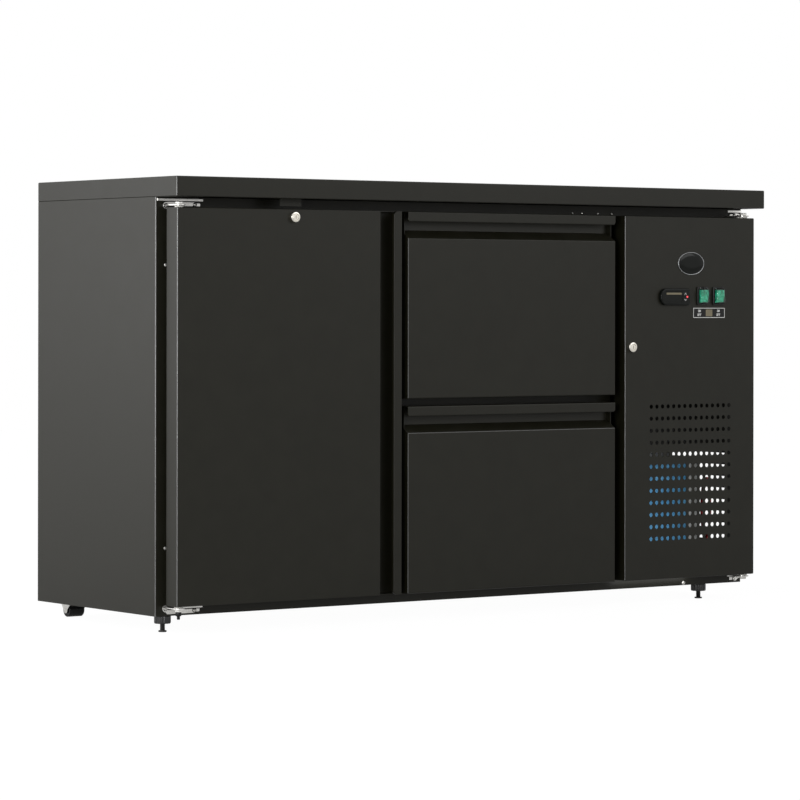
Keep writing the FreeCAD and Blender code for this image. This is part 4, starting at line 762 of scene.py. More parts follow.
def grip_front(run, span, lip_corner):
    """Front drawn lying: x across the channel, y as depth, z along the channel."""
    mesh = bmesh.new()
    line = [(0, BACK), (0, FACE), (run - GRIP_ZONE, FACE), (slope_at(run, GRIP_DEPTH), FLOOR)]
    line.append((run - SHEET, FLOOR))
    bar(mesh, sheet_section(line[::-1], SHEET, 2.0), "z", SHEET, span - SHEET)
    rings = []
    for step in range(2 * LIP_STEPS + 2):
        first_end = step <= LIP_STEPS
        angle = math.radians(90.0 * (step if first_end else 2 * LIP_STEPS + 1 - step) / LIP_STEPS)
        along = lip_corner * (1 - math.cos(angle))
        reach = LIP - lip_corner * (1 - math.sin(angle))
        hem = HEM_AT_END + (HEM - HEM_AT_END) * math.sin(angle)
        rings.append(lift(lip_section(run, reach, hem), "z", along if first_end else span - along))
    loft(mesh, rings)
    wall = [(0, BACK), *arc((2, FACE + 2), 2, 180, 270, 5), (run - GRIP_ZONE, FACE),
            (slope_at(run, END_SETBACK), FACE + END_SETBACK), (run, FACE + END_SETBACK), (run, BACK)]
    eased = [(u, max(v, FACE + EASE)) for u, v in wall]
    loft(mesh, [lift(eased, "z", 0), lift(wall, "z", SHEET)])
    loft(mesh, [lift(wall, "z", span - SHEET), lift(eased, "z", span)])
    return mesh


print("grip slope falls", GRIP_DEPTH, "mm over", GRIP_RISE, "mm")

# %% [markdown]
# ## Door and drawers
# The same front serves three times: upright for the door, and turned with its channel on top for the
# drawers. The door's top wall has a slot through which the lock's cam rises.

# %% Three fronts
DOOR_WIDTH, DOOR_HEIGHT = 520.0, 749.0
DRAWER_HEIGHT, DRAWER_WIDTH, DRAWER_RIGHT = 367.0, 524.0, 1071.5
LOWER_EDGE = 53.0

door_front = grip_front(DOOR_WIDTH, DOOR_HEIGHT, 8.0)
for vert in door_front.verts:
    vert.co += Vector((13, 0, LOWER_EDGE))
cam_slot = bmesh.new()
brick(cam_slot, (269.5, 307), (32.8, 37.0), (795, 806))
nodes = ["door_skin", "door_grip_edge"]
piece("door_front", carve(door_front, cam_slot), "door", "black_steel", nodes, edge=0.5)
for drawer, bottom in (("upper_drawer", 435.0), ("lower_drawer", LOWER_EDGE)):
    front = grip_front(DRAWER_HEIGHT, DRAWER_WIDTH, 4.5)
    for vert in front.verts:
        vert.co = Vector((DRAWER_RIGHT - vert.co.z, vert.co.y, bottom + vert.co.x))
    nodes = [drawer + "_front", drawer + "_grip_edge"]
    # The lower drawer's top fold gets the painted highlight as well.
    fold = (bottom + DRAWER_HEIGHT - GRIP_ZONE) * MM if drawer == "lower_drawer" else None
    piece(drawer + "_sheet", front, drawer, "black_steel", nodes, edge=0.5, highlight_fold_level=fold)
print("door", DOOR_WIDTH, "by", DOOR_HEIGHT, "mm and two drawers", DRAWER_WIDTH, "by", DRAWER_HEIGHT, "mm")

# %% [markdown]
# ## Machine compartment door
# This door is a shallow pan, punched with 12 rows of 15 round holes so that the condenser can breathe. Its
# upper part is cut out for the controller and the two switches, and has a hole for the lock. The holes are
# real openings and not a pattern in the paint, because the fins and the daylight show through them.

# %% Perforated pan
ROWS, COLUMNS, HOLE, COLUMN_PITCH = 12, 15, 8.8, 15.1
FIRST_HOLE = (1167.55, 136.7)
PUNCH = (FACE - 3, FACE + 4)
CONTROLLER_CUT = ((1192, 1262), (622, 650))
SWITCHES, SWITCH_LEVEL = {"left": 1304.9, "right": 1348.1}, 638.0
DOOR_LOCK, MACHINE_LOCK = (277.0, 787.0), (1114.0, 532.6)

mesh, holes = bmesh.new(), bmesh.new()
pan(mesh, "y", (1097.5, 1449), (LOWER_EDGE, 802), (BACK, FACE), SHEET, 12.0, 2.0, FOLD)
for column in range(COLUMNS):
    for row in range(ROWS):
        centre = (FIRST_HOLE[0] + COLUMN_PITCH * column, FIRST_HOLE[1] + ROW_PITCH * row)
        bar(holes, circle(centre, HOLE / 2, 20), "y", *PUNCH)
bar(holes, rounded(*CONTROLLER_CUT, 2), "y", *PUNCH)
for x in SWITCHES.values():
    bar(holes, rounded(*around((x, SWITCH_LEVEL), 12.6, 16), 1), "y", *PUNCH)
bar(holes, circle(MACHINE_LOCK, 9.6, 28), "y", *PUNCH)
panel = piece("machine_door_sheet", carve(mesh, holes), "machine_door", "black_steel", ["service_panel"])
print("machine door has", len(panel.data.polygons), "faces after punching", ROWS * COLUMNS, "holes")

# %% [markdown]
# ## Door lining and gaskets
# Behind each front sits a vinyl gasket with a magnet strip, pressed into a groove, and it is what shows as
# a dark line around each door. The door's lining is a plastic sheet with a raised middle. A gasket's
# section goes all round the opening, so it is a loft that closes on itself both ways.

# %% Gaskets and lining
BELLOWS = [(0, 55), (0, 59), (2.2, 60.5), (3.4, 63), (2.2, 65.5), (0.4, 67.6), (0.4, 72.9), (1.2, 73.7),
           (10.8, 73.7), (11.6, 72.9), (11.6, 67.6), (9.8, 65.5), (8.6, 63), (9.8, 60.5), (12, 59), (12, 55)]
RAISED = [(0, 54.2, 3), (0, 55, 3), (36, 55, 20), (40, 62, 20), (46, 67, 18), (62, 67, 16), (66, 64.5, 14),
          (200, 64.5, 8)]

for body, u, v in (("door", (29, 517.2), (69, 794)), ("upper_drawer", (563.2, 1055.8), (443.5, 794)),
                   ("lower_drawer", (563.2, 1055.8), (69, 411.5))):
    mesh = bmesh.new()
    cushion(mesh, "y", u, v, [(inset, depth, 0.6) for inset, depth in BELLOWS], 2, closed=True)
    piece(body + "_bellows", mesh, body, "gasket", [body + "_gasket"])
mesh = bmesh.new()
cushion(mesh, "y", (14.2, 531.8), (54.2, 800.8), RAISED, 5)
piece("door_lining", mesh, "door", "door_liner", ["door_liner"])
print("three gaskets and the door lining made")

# %% [markdown]
# ## Screw heads
# Every screw is a low dome with a cross recess. Cutting each one by itself would take long, so a helper
# only collects the heads and the crosses, and all of them are cut at the end in one go.

# %% Collected screws
screw_mesh, cross_mesh = bmesh.new(), bmesh.new()
HEAD = [(1.0, 0), (1.0, 0.4), (0.82, 0.8), (0.4, 1)]


def screw(centre, axis, side, radius, rise=None):
    """Raised screw head with a cross recess, standing on a face and pointing to one side."""
    level = "xyz".index(axis)
    flat = [value for index, value in enumerate(centre) if index != level]
    base, up = centre[level], side * (rise or 0.62 * radius)
    turned(screw_mesh, flat, axis, [(radius * reach, base + up * part) for reach, part in HEAD], 20)
    for wide, tall in ((0.55, 0.13), (0.13, 0.55)):
        outline = square(*around(flat, radius * wide, radius * tall))
        bar(cross_mesh, outline, axis, base + up * 0.32, base + up * 1.6)


print("a head has", len(HEAD), "rings")

# %% [markdown]
# ## Corner hinges
# Each door swings on two zinc-plated corner hinges: a flange screwed to the cabinet with a round lobe at
# its end, a ledge above it, an arm that reaches forward, and a pin held by a nut. At the bottom left the
# stem ends in a black cap. One bracket is drawn. At the top its flange and arm are turned over, and its ledge
# stays above.

# %% Hinge brackets
PIN = (28, 36)
FLANGE_LEVEL, LEDGE, ARM = 43.4, (45.0, 49.7), (47.2, 49.7)
WASHER_FACE = 71.2
NUT = [(6.6, 42), (7.5, 42.8), (7.5, 46.4), (6.6, 47.2)]
STEM_CAP = [(2.4, 28), (3, 28.8), (3, 34), (5.4, 35), (5.8, 36), (5.8, 41), (5.2, 42)]
FLANGE_TURN, ARM_TURN, LEDGE_RAISE = 848.7, 855.0, 769.8


def bracket(start, end, with_stem, lobe_level, ledge_start):
    """Lower left bracket as separate meshes, with the places of its two screws."""
    parts = {name: bmesh.new() for name in ("flange", "washers", "ledge", "arm", "seam", "cap")}
    lobe = start + 8
    screws = ((lobe, lobe_level), (end - 12, 40.4))
    flange = arc(screws[0], 6.6, 60, 270, 12) + [(lobe + 4, 35.5), (end - 12, 35.5), (end - 8, 37.5)]
    flange += [(end - 1, 37.5), (end, 38.5), (end, FLANGE_LEVEL), (lobe + 5, FLANGE_LEVEL)]
    bar(parts["flange"], flange, "y", 71.5, CASE_FRONT)
    for hole in screws:
        bar(parts["washers"], circle(hole, 4.4), "y", WASHER_FACE, 71.5)
    bar(parts["ledge"], square((ledge_start, end + 6), LEDGE), "y", 70.5, CASE_FRONT)
    bar(parts["seam"], square((lobe - 2, end), (43, 45.4)), "y", 73.2, CASE_FRONT)
    bar(parts["arm"], arc(PIN, 12, 180, 360, 14) + [(40, CASE_FRONT), (16, CASE_FRONT)], "z", *ARM)
    bar(parts["arm"], circle(PIN, 4, 20), "z", 49.6, 65.7)
    turned(parts["arm"], PIN, "z", NUT, 6)
    if with_stem:
        turned(parts["cap"], PIN, "z", STEM_CAP, 20)
    return parts, screws


hinge_mesh, cap_mesh = bmesh.new(), bmesh.new()
for start, end, on_right in ((14.0, 98.0, False), (4.0, 34.0, True)):
    for upper in (False, True):
        lobe_level, ledge_start = (42.5, 2.5) if upper else (46.0, start + 14)
        parts, screws = bracket(start, end, not (upper or on_right), lobe_level, ledge_start)
        for name, part in parts.items():
            for vert in part.verts:
                if on_right:
                    vert.co.x = WIDTH - vert.co.x
                if upper and name in ("flange", "washers"):
                    vert.co.z = FLANGE_TURN - vert.co.z
                elif upper and name == "arm":
                    vert.co.z = ARM_TURN - vert.co.z
                elif upper:
                    vert.co.z += LEDGE_RAISE
            bmesh.ops.recalc_face_normals(part, faces=part.faces)
            join(hinge_mesh if name in ("flange", "ledge", "arm") else cap_mesh, part)
        for x, z in screws:
            place_on_flange = (WIDTH - x if on_right else x, WASHER_FACE, FLANGE_TURN - z if upper else z)
            screw(place_on_flange, "y", -1, 3.4)
piece("corner_hinges", hinge_mesh, "cabinet", "zinc", ["hinge_brackets"], edge=0.4)
piece("hinge_stem_caps", cap_mesh, "cabinet", "zinc", material="black_plastic")
print("four corner hinges made")

# %% [markdown]
# ## Cam locks
# A lock shows as a nickel ring around a plug with a keyhole. The ring is turned, with a small step where
# it meets the plug. The keyhole is cut. The barrel goes through the sheet and carries the cam behind it.

# %% Lock barrels
BARREL = [(9.5, 33), (9.5, 18), (10.5, 18), (10.5, 12.2), (9.7, 11.0), (8.2, 10.5), (6.6, 10.6), (6.1, 11.6),
          (5.9, 11.6), (5.5, 11.2), (2.0, 11.1)]
for name, body, centre, node in (("door_lock_barrel", "door", DOOR_LOCK, "door_lock_body"),
                                 ("machine_lock_barrel", "machine_door", MACHINE_LOCK, "panel_lock_body")):
    mesh, keyhole = bmesh.new(), bmesh.new()
    turned(mesh, centre, "y", BARREL, 36)
    bar(keyhole, rounded(*around(centre, 0.7, 3.6), 0.5, 2), "y", 10.0, 14.0)
    piece(name, carve(mesh, keyhole), body, "nickel", [node])
print("two locks made")

# %% [markdown]
# ## Controller
# The thermostat is clipped into a cut-out: a black frame with a rounded end, a dark window with a pale
# strip along its top, two keys and a red lamp between them. The frame is a loft of shrinking outlines, so
# its rim is soft, and the window lies a little lower.

# %% Controller frame, window and lamp
def controller_outline(inset):
    """Outline of the frame: round at the left, nearly square at the right."""
    low, high = (1188 + inset, 618.5 + inset), (1266 - inset, 653.5 - inset)
    left, right = 15.5 - inset, 2.5
    outline = arc((high[0] - right, low[1] + right), right, -90, 0, 5)
    outline += arc((high[0] - right, high[1] - right), right, 0, 90, 5)
    outline += arc((low[0] + left, high[1] - left), left, 90, 180, 8)
    return outline + arc((low[0] + left, low[1] + left), left, 180, 270, 8)


def plate(name, u, v, corner, levels, edge, material):
    """Thin plate with round corners on the machine compartment's door."""
    mesh = bmesh.new()
    bar(mesh, rounded(u, v, corner), "y", *levels)
    piece(name, mesh, "machine_door", "black_plastic", edge=edge, material=material)


mesh, window_cut = bmesh.new(), bmesh.new()
rim = ((0, 18), (0, 13), (0.8, 11), (2.4, 10))
loft(mesh, [lift(controller_outline(inset), "y", depth) for inset, depth in rim])
bar(window_cut, rounded((1199.5, 1244.5), (625, 647), 1.5), "y", 8, 11.5)
mesh = carve(mesh, window_cut)
brick(mesh, CONTROLLER_CUT[0], (17.5, 63), CONTROLLER_CUT[1])
piece("controller_frame", mesh, "machine_door", "black_plastic", ["controller"], edge=0.3,
      material="dark_window")
plate("controller_window", (1200, 1244), (625.5, 646.5), 1.2, (11.6, 11.0), 0.15, "dark_window")
plate("controller_strip", (1202, 1243), (640.6, 644.6), 0.6, (10.9, 10.6), 0.1, "olive_strip")
mesh = bmesh.new()
turned(mesh, (1257.5, 636), "y", [(2.2, 10.4), (2.2, 9.6), (1.6, 8.9), (0.7, 8.6)], 16)
piece("controller_lamp", mesh, "machine_door", "black_plastic", material="lamp_red")
print("controller made")

# %% [markdown]
# ## Keys
# The two keys can be pressed. Each is a small cap with a soft rim and a printed arrow stroke. A picture of
# the arrow would blur up close, so the stroke is a thin raised form, and it rides with its key.

# %% Controller keys
for name, level, tilt in (("key_up", 642.0, 1), ("key_down", 630.0, -1)):
    node = "controller_" + name
    mesh, arrow = bmesh.new(), bmesh.new()
    low, high = extent(node)
    rings = ((0, high.y, 1.6), (0, low.y + 1.0, 1.6), (0.8, low.y, 1.6))
    cushion(mesh, "y", (low.x, high.x), (low.z, high.z), rings)
    piece(node + "_cap", mesh, name, "white_key", [node], material="black_plastic")
    middle = (low.x + high.x) / 2
    for side in (-1, 1):
        x, z = middle - 0.3 * side, level + 1.8 * tilt
        tip_x, tip_z = middle + 2.6 * side, level - 1.2 * tilt
        stroke = [(x, z - 0.7), (tip_x, tip_z - 0.7), (tip_x, tip_z + 0.7), (x, z + 0.7)]
        bar(arrow, stroke, "y", low.y + 0.1, low.y - 0.12)
    piece(node + "_arrow", arrow, name, "white_key", material="white_print")
print("two keys made")

# %% [markdown]
# ## Rocker switches under clear boots
# Each switch has a black frame and a green rocker, and a clear soft boot keeps drinks out. The boot is a
# thin shell of clear plastic, domed over the rocker, and the rocker tilts underneath it. Frame and boot are
# both rows of round-cornered rectangles, because their depth changes but their outline hardly does.

# %% Switches
FRAME = [(0, 18, 2.5), (0, 15.4, 2.5), (1.4, 14, 2.5), (4.2, 14, 1.4), (4.8, 15.4, 1.2), (4.8, 17.6, 1.2)]
BOOT = [(3.2, 6.5, 2.6), (1.8, 7.4, 2.6), (1.1, 9.0, 2.4), (1.1, 14.0, 2.4), (-0.8, 14.0, 3.2),
        (-0.8, 13.4, 3.2), (0.4, 13.0, 3.0), (0.4, 8.8, 3.0), (1.2, 6.9, 3.0), (2.6, 5.9, 3.0)]
for side, x in SWITCHES.items():
    mesh, boot = bmesh.new(), bmesh.new()
    cushion(mesh, "y", *around((x, SWITCH_LEVEL), 15, 19), FRAME)
    brick(mesh, (x - 12.5, x + 12.5), (17.5, 42), (SWITCH_LEVEL - 16, SWITCH_LEVEL + 16))
    bezels = ["switch_bezels"] if side == "left" else ()
    piece(side + "_switch_frame", mesh, "machine_door", "black_plastic", bezels)
    cushion(boot, "y", *around((x, SWITCH_LEVEL), 12, 15.5), BOOT, 5)
    piece(side + "_boot", boot, "machine_door", "green_lens", material="clear_boot")
print("two switches", round(SWITCHES["right"] - SWITCHES["left"], 1), "mm apart")

# %% [markdown]
# ## Oval boss
# A plain oval boss with a thin bright rim sits high on the machine compartment's door. A flattened sphere
# would have no rim, so it is a loft of shrinking ovals, and the rim is a second one that closes on itself.

# %% Oval boss
BOSS = (1273.8, 705.4)


def oval(inset, depth):
    """Oval outline of the boss, drawn in by an inset."""
    wide, tall = 35 - inset, 23.5 - inset
    points = [(BOSS[0] + u * wide, BOSS[1] + v * tall) for u, v in circle((0, 0), 1.0, 48)]
    return lift(points, "y", depth)


mesh, rim = bmesh.new(), bmesh.new()
loft(mesh, [oval(1.2, 18), oval(1.2, 16.2), oval(3, 15.2), oval(9, 14.4), oval(18, 14.0)])
piece("oval_boss", mesh, "machine_door", "black_plastic", material="dark_window")
loft(rim, [oval(0, 18), oval(0, 16.6), oval(0.4, 16.2), oval(0.7, 16.2), oval(1.2, 16.6), oval(1.2, 18)],
     closed=True)
piece("oval_rim", rim, "machine_door", "zinc", material="galvanised")
print("oval boss made")

# %% [markdown]
# ## Label
# Below the switches a small plate names their positions. Its white outline and letters are raised a hair
# above the plate, so that they stay crisp from any side. Five rows of small blocks are enough for letters
# that are 5 mm high.

# %% Label below the switches
LABEL, LABEL_SIZE = (1323.5, 602.8), (43.5, 10.7)
LETTERS = {"O": ["111", "101", "101", "101", "111"], "N": ["101", "111", "111", "111", "101"],
           "F": ["111", "100", "110", "100", "100"]}
LETTER_STEP = 3.6

plate("switch_label_plate", *around(LABEL, *LABEL_SIZE), 1.5, (18, 17.6), 0.1, "black_plastic")
mesh = bmesh.new()
border = ((0.4, 17.7, 1.5), (0.4, 17.4, 1.5), (1.6, 17.4, 1.5), (1.6, 17.7, 1.5))
cushion(mesh, "y", *around(LABEL, *LABEL_SIZE), border, closed=True)
for middle in (LABEL[0] - 26, LABEL[0] + 26):
    for word, top in (("ON", LABEL[1] + 6.6), ("OFF", LABEL[1] - 1.4)):
        start = middle - LETTER_STEP * len(word) / 2
        for number, letter in enumerate(word):
            for row, pattern in enumerate(LETTERS[letter]):
                for column, filled in enumerate(pattern):
                    if filled == "1":
                        u = start + LETTER_STEP * number + column
                        brick(mesh, (u, u + 1), (17.4, 17.7), (top - row - 1, top - row))
piece("switch_label_print", mesh, "machine_door", "white_key", material="white_print")
plate("switch_label_patch", *around(LABEL, 9, 7), 1, (17.7, 17.45), 0.0, "olive_strip")
print("label", 2 * LABEL_SIZE[0], "by", 2 * LABEL_SIZE[1], "mm")

# %% [markdown]
# ## Feet
# The front stands on two levelling feet. Each has a black fluted knob close under the base, which the
# fingers turn, and a threaded stem with a small pad below it. The stem also runs up into the base. The
# flutes are a wave added to the radius, and the thread is a turned profile that goes in and out.

# %% Fluted feet
FLUTES, FLUTE_DEPTH, FOOT_Y = 14, 0.7, 100
KNOB = [(14.6, 16), (15.4, 16.7), (16, 18), (16, 29.4), (15.4, 30.6), (14.4, 31)]
STEM = [(7.4, 0), (8, 0.6), (8, 2.4), (7, 3), (5, 3)]
for step in range(22):
    STEM += [(4.3, 4 + 2 * step), (5.0, 5 + 2 * step)]


def fluted(x, radius, level):
    """Ring of the knob with its flutes."""
    steps = 6 * FLUTES
    points = []
    for angle in (2 * math.pi * step / steps for step in range(steps)):
        reach = radius - FLUTE_DEPTH * (1 - math.cos(FLUTES * angle))
        points.append((x + reach * math.cos(angle), FOOT_Y + reach * math.sin(angle), level))
    return points


for body, x in (("foot_left", 33.0), ("foot_right", 1366.0)):
    mesh = bmesh.new()
    loft(mesh, [fluted(x, radius, level) for radius, level in KNOB])
    turned(mesh, (x, FOOT_Y), "z", STEM, 20)
    node = "front_" + body
    piece(node + "_fluted", mesh, body, "black_plastic", [node], material="black_paint")
print("two feet with", FLUTES, "flutes")

# %% [markdown]
# ## Rollers
# The rear runs on two rollers, held in zinc forks, so that the tipped cooler can be pushed away. Each is
# turned with a groove on either side, and one turned profile gives wheel and grooves together.

# %% Rear rollers
WHEEL = [(6, 0), (6, 1.5), (9.5, 1.5), (10, 0.4), (13, 0.4), (14, 1.6), (14, 32.4), (13, 33.6), (10, 33.6),
         (9.5, 32.5), (6, 32.5), (6, 34)]
for body, start in (("roller_left", 47.5), ("roller_right", 1380.5)):
    mesh = bmesh.new()
    turned(mesh, (480, 14), "x", [(radius, start + along) for radius, along in WHEEL], 36)
    node = "rear_" + body
    piece(node + "_wheel", mesh, body, "grey_plastic", [node], material="black_plastic")
print("two rollers")

# %% [markdown]
# ## Wire shelf
# A plated wire shelf is a bent frame with thinner wires welded on top. A flat sheet with a see-through
# pattern would be lighter to draw, but looks wrong from the side. So each wire is a round bar along a path,
# and the frame's path closes on itself around soft corners.

# %% Shelf wires
WIRES = 26
low, high = extent("wire_shelf")
middle = (low.y + high.y) / 2
mesh = bmesh.new()
frame_line = rounded((low.x + 3, high.x - 3), (low.y + 3, high.y - 3), 12, 5)
tube(mesh, lift(frame_line, "z", low.z + 3), 3.0, 12, closed=True)
tube(mesh, [(x, middle, low.z + 2.6) for x in (low.x + 3, high.x - 3)], 2.5)
for number in range(WIRES):
    x = low.x + 12 + (high.x - low.x - 24) * number / (WIRES - 1)
    tube(mesh, [(x, y, high.z - 1.5) for y in (low.y + 1.5, high.y - 1.5)], 1.5, 8)
piece("shelf_wires", mesh, "cabinet", "wire", ["wire_shelf"])
print("shelf with", WIRES, "wires")

# %% [markdown]
# ## Condenser
# Through the holes of the machine door shows the condenser: aluminium fins with a blue coating, pushed
# tightly onto copper tubes between two plates. A striped texture would show no depth through the holes. So
# each fin is a thin sheet of its own, and the tubes run through them in two layers, joined by bends at the
# right end.

# %% Condenser fins, tubes and plates
FINS, FIN_LEFT, FIN_RIGHT = 98, 1119.75, 1331.0
TUBES, TUBE_PITCH, TUBE_RADIUS = 10, 25.4, 3.6
PLATE_DEPTHS, PLATE_LEVELS = (95, 155), (35, 289)

mesh = bmesh.new()
for number in range(FINS):
    x = FIN_LEFT + 0.2 + (FIN_RIGHT - FIN_LEFT - 0.7) * number / (FINS - 1)
    brick(mesh, (x, x + 0.3), (95.4, 154.6), (36.5, 286.8))
piece("condenser_fins", mesh, "cabinet", "fins", ["condenser_coil"])

mesh = bmesh.new()
levels = [48 + TUBE_PITCH * step for step in range(TUBES)]
for layer in (110.0, 140.0):
    for level in levels:
        tube(mesh, [(FIN_LEFT - 2, layer, level), (FIN_RIGHT + 2, layer, level)], TUBE_RADIUS)
    for level in levels[:-1:2]:
        bend = square((FIN_RIGHT + 1, 1340.0), (level, level + TUBE_PITCH))
        tube(mesh, bent_path(lift(bend, "y", layer), 7.0), TUBE_RADIUS)
piece("condenser_tubes", mesh, "cabinet", "copper")

mesh = bmesh.new()
for x in ((FIN_LEFT - 2, FIN_LEFT), (FIN_RIGHT, FIN_RIGHT + 2)):
    brick(mesh, x, PLATE_DEPTHS, PLATE_LEVELS)
brick(mesh, (FIN_RIGHT, 1362), (95, 97), PLATE_LEVELS)
brick(mesh, (1108.75, FIN_LEFT), (153, 155), PLATE_LEVELS)
brick(mesh, (FIN_LEFT - 2, FIN_RIGHT + 2), PLATE_DEPTHS, (287, 289))
piece("condenser_plates", mesh, "cabinet", "galvanised", edge=0.5, material="coated_plate")
print("condenser with", FINS, "fins and", 2 * TUBES, "tubes")

# %% [markdown]
# ## Fans
# Both fans are moulded: a cup-shaped hub and swept blades with a twist. A flat blade could be tilted, but
# would show no twist. So a blade is lofted from the hub outwards, one section after another, and each is
# turned on and leans less than the one before.

# %% Fan wheels
BLADES, BLADE_STEPS = 5, 5
BLADE_SECTION = ((-1, 0.3), (0, 1.0), (1, 0.3), (1, -0.3), (0, 0.2), (-1, -0.3))


def fan(node, hub):
    """Fan wheel that fills the box of its construction piece."""
    low, high = extent(node)
    x, z = (low.x + high.x) / 2, (low.z + high.z) / 2
    root, reach = hub * 0.9, (high.x - low.x) / 2 - 0.5
    front, back = low.y, high.y
    deep = min(back - front, 24.0)
    mesh = bmesh.new()
    cup = [(hub * 0.5, front), (root, front + 0.6), (hub, front + 2), (hub, front + deep * 0.8)]
    turned(mesh, (x, z), "y", cup)
    if back - front > deep:
        turned(mesh, (x, z), "y", [(2.4, front + 1), (2.4, back)], 16)
    for number in range(BLADES):
        rings = []
        for step in range(BLADE_STEPS + 1):
            t = step / BLADE_STEPS
            radius = root + (reach - root) * t
            wide = 0.42 + 0.16 * math.sin(math.pi * t)
            sweep = 2 * math.pi * number / BLADES + 0.35 * t * t
            section = []
            for u, offset in BLADE_SECTION:
                depth = front + deep * 0.42 + deep * (0.36 - 0.12 * t) * u + offset
                angle = sweep + wide * u
                section.append((x + radius * math.cos(angle), depth, z + radius * math.sin(angle)))
            rings.append(section)
        loft(mesh, rings)
    piece(node + "_blades", mesh, node + "_wheel", "black_plastic", [node])
    print(node, "reaches", round(reach, 1), "mm from its axis")


fan("condenser_fan", 20.0)
fan("evaporator_fan", 14.0)

# %% [markdown]
# ## Compressor
# The compressor is a pump and a motor inside a welded steel pot, painted black, with a seam around its
# middle. It stands on rubber pads. A sphere squashed flat would have no seam and no flat lid, so a turned
# profile gives the pot, and a small box on its side covers the terminals.

# %% Compressor
POT = [(52, 50), (66, 54), (72, 64), (74, 74), (74, 124), (78, 125), (78, 130), (74, 131), (74, 168),
       (71, 182), (62, 195), (46, 204), (24, 207.4), (6, 208)]
PAD = [(8, 35), (9, 36), (9, 40), (7, 41.5), (9, 43), (9, 46.5), (8, 47)]

mesh, pads = bmesh.new(), bmesh.new()
turned(mesh, (1316.75, 407), "z", POT, 56)
terminal_box = ((3, 345, 5), (0, 341, 5), (0, 313, 5), (2, 309, 5))
cushion(mesh, "y", (1293.75, 1339.75), (88, 130.5), terminal_box)
bar(mesh, rounded((1221.75, 1411.75), (347, 467), 14), "z", 47, 50)
piece("compressor_pot", mesh, "cabinet", "black_paint", ["compressor"])
for x in (1236.75, 1396.75):
    for y in (362, 452):
        turned(pads, (x, y), "z", PAD, 20)
piece("compressor_pads", pads, "cabinet", "black_paint", material="gasket")
print("compressor pot", POT[-1][1] - POT[0][1], "mm high, on four pads")

# %% [markdown]
# ## Pipes
# Copper pipes lead the gas away to the condenser and back from the cold part. A pipe is bent over a former,
# so its path is a row of straight runs with rounded corners, and a round bar follows the path.

# %% Refrigerant pipes
mesh = bmesh.new()
discharge = [(1346.75, 407, 200), (1346.75, 407, 268), (1346.75, 110, 268), (1346.75, 110, 261.8)]
discharge.append((1332.75, 110, 261.8))
tube(mesh, bent_path(discharge[:3], 12.0)[:-1] + bent_path(discharge[2:], 2.8), 3.2, 12)
suction = [(1286.75, 407, 200), (1286.75, 407, 328), (1091.5, 407, 328)]
tube(mesh, bent_path(suction, 16.0), 3.2, 12)
piece("copper_pipes", mesh, "cabinet", "copper", ["refrigerant_pipes"])
print("two pipes bent")

# %% [markdown]
# ## Electrical box
# The relay and the terminals sit in a grey plastic box on the partition, with a screwed lid. The lid is a
# form of its own, a hair above the box, so that a real gap runs round it.

# %% Electrical box and its lid
BOX_Y, BOX_Z = (291, 421), (562, 712)
mesh = bmesh.new()
bar(mesh, rounded(BOX_Y, BOX_Z, 6), "x", 1090.75, 1137)
cushion(mesh, "x", BOX_Y, BOX_Z, ((0, 1137.4, 6), (0, 1141.4, 6), (1.4, 1142.75, 6)))
piece("electrical_housing", mesh, "cabinet", "grey_plastic", ["electrical_box"])
print("electrical box", BOX_Y[1] - BOX_Y[0], "by", BOX_Z[1] - BOX_Z[0], "mm")

# %% [markdown]
# ## Red hoop on the side wall
# Through the right-hand holes shows something red with a pale middle. Here it is a moulded plastic hoop,
# clipped flat to the side wall in front of the air slots. It is a round bar bent into an oval, and two small
# feet hold it.

# %% Red hoop
HOOP_Y, HOOP_Z = 182, 184
mesh = bmesh.new()
hoop = [(HOOP_Y + 14 * u, HOOP_Z + 62 * v) for u, v in circle((0, 0), 1.0, 40)]
tube(mesh, lift(hoop, "x", 1457.6), 3.0, closed=True)
for level in (HOOP_Z - 62.0, HOOP_Z + 62.0):
    brick(mesh, (1456.5, 1461.0), (HOOP_Y - 4, HOOP_Y + 4), (level - 4, level + 4))
piece("red_hoop", mesh, "cabinet", "grey_plastic", edge=0.3, material="red_plastic")
print("red hoop made")

# %% [markdown]
# ## Screws
# The hinges' screws are collected already. More of them hold the back, the edges of the case, the rail
# under the worktop, the base and the lid of the electrical box. Now all heads are cut by all crosses.

# %% All the screws
ON_CASE_FRONT = CASE_FRONT + 0.1
for y in (300.0, 412.0):
    for z in (571.0, 703.0):
        screw((1142.4, y, z), "x", 1, 2.6)
for x in (60.0, 420.0, 780.0, 1140.0, 1420.0):
    for z in (52.0, 800.0):
        screw((x, 511.9, z), "y", 1, 4.0, rise=1.0)
for z in (160.0, 694.0):
    screw((22.0, ON_CASE_FRONT, z), "y", -1, 3.2)
for x in (1004.0, 1029.0, 1071.0, 1107.0):
    screw((x, ON_CASE_FRONT, 807.0), "y", -1, 2.0)
screw((1302.0, ON_CASE_FRONT, 37.0), "y", -1, 4.5)
screws = piece("case_screws", carve(screw_mesh, cross_mesh), "cabinet", "zinc")
print("screws cut, with", len(screws.data.polygons), "faces")

# %% [markdown]
# ## Studio
# The picture is a cut-out on white. The floor is plain white and takes a soft shadow. What the camera sees
# of the floor and the sky is made white through the Light Path node, and so is what mirrors and glass see
# of the sky, and a share of what they see of the floor. So no lamp has to be strong enough to bleach the
# cooler.

# %% Floor and sky
MIRRORED_FLOOR, PAPER_SHARE, PAPER_GLOW = 0.30, 0.94, 1.04
SKY_LIGHT = 0.45
WHITE = (1.0, 1.0, 1.0, 1.0)

mesh = bmesh.new()
mesh.faces.new([mesh.verts.new((x, y, 0)) for x, y in square((-9, 9), (-9, 9))])
floor = stand("studio_floor", bpy.data.meshes.new("studio_floor"))
mesh.to_mesh(floor.data)
mesh.free()


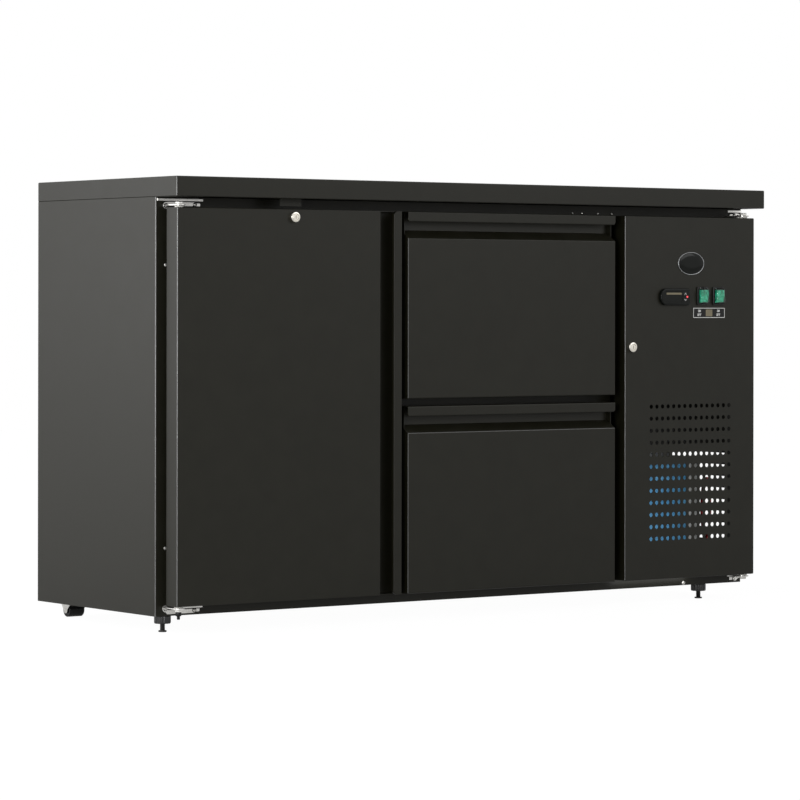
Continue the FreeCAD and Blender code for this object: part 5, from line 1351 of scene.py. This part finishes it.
def seen_directly(tree, mirrored):
    """One where the camera looks, a share of it in mirrors and glass, and nought for soft light."""
    path = place(tree, "ShaderNodeLightPath").outputs
    bent = reckon(tree, "MAXIMUM", path["Is Glossy Ray"], path["Is Transmission Ray"])
    return reckon(tree, "MAXIMUM", reckon(tree, "MULTIPLY", bent, mirrored), path["Is Camera Ray"])


paper = bpy.data.materials.new("studio_paper")
floor.data.materials.append(paper)
tree = fresh_tree(paper)
share = ramp(tree, seen_directly(tree, MIRRORED_FLOOR), 0.0, 1.0, 0.0, PAPER_SHARE)
matt = place(tree, "ShaderNodeBsdfDiffuse", {"Color": (0.86, 0.86, 0.86, 1.0)})
glow = place(tree, "ShaderNodeEmission", {"Color": WHITE, "Strength": PAPER_GLOW})
blend = place(tree, "ShaderNodeMixShader", {0: share, 1: matt.outputs[0], 2: glow.outputs[0]})
place(tree, "ShaderNodeOutputMaterial", {"Surface": blend.outputs[0]})

world = bpy.data.worlds.new("studio_sky")
bpy.context.scene.world = world
tree = fresh_tree(world)
level = ramp(tree, seen_directly(tree, 1.0), 0.0, 1.0, SKY_LIGHT)
sky = place(tree, "ShaderNodeBackground", {"Color": WHITE, "Strength": level})
place(tree, "ShaderNodeOutputWorld", {"Surface": sky.outputs[0]})
bpy.context.scene.view_settings.view_transform = "Standard"
print("floor and sky ready")

# %% [markdown]
# ## Lamps
# A broad soft lamp stands at the left and behind, and gives the left side its grey sheen. A tall one at the
# front left draws a thin line of light along each fold that turns to the left. A weaker one from the front
# right lifts the shadows, and a very small one in the machine compartment shows the fins through the holes.

# %% Soft lamps
def lamp(name, stands_at, aim, width, height, power):
    """Soft rectangular lamp aimed at a point."""
    data = bpy.data.lights.new(name, "AREA")
    data.shape = "RECTANGLE"
    data.size, data.size_y = width, height
    data.energy = power
    made = stand(name, data)
    made.location = stands_at
    made.rotation_euler = (Vector(aim) - Vector(stands_at)).to_track_quat("-Z", "Y").to_euler()
    made.visible_camera = False


lamp("left_lamp", (-3.4, 1.5, 1.42), (-0.7, 0.2, 0.5), 4.0, 2.4, 86.0)
lamp("front_lamp", (2.4, -3.6, 2.3), (0.0, 0.0, 0.6), 2.2, 1.6, 30.0)
lamp("fold_lamp", (-4.6, -3.2, 1.0), (-0.6, -0.2, 0.5), 1.0, 2.4, 120.0)
lamp("bay_lamp", (0.487, -0.1995, 0.165), (0.487, 0.2, 0.165), 0.20, 0.25, 0.27)
print("four lamps")
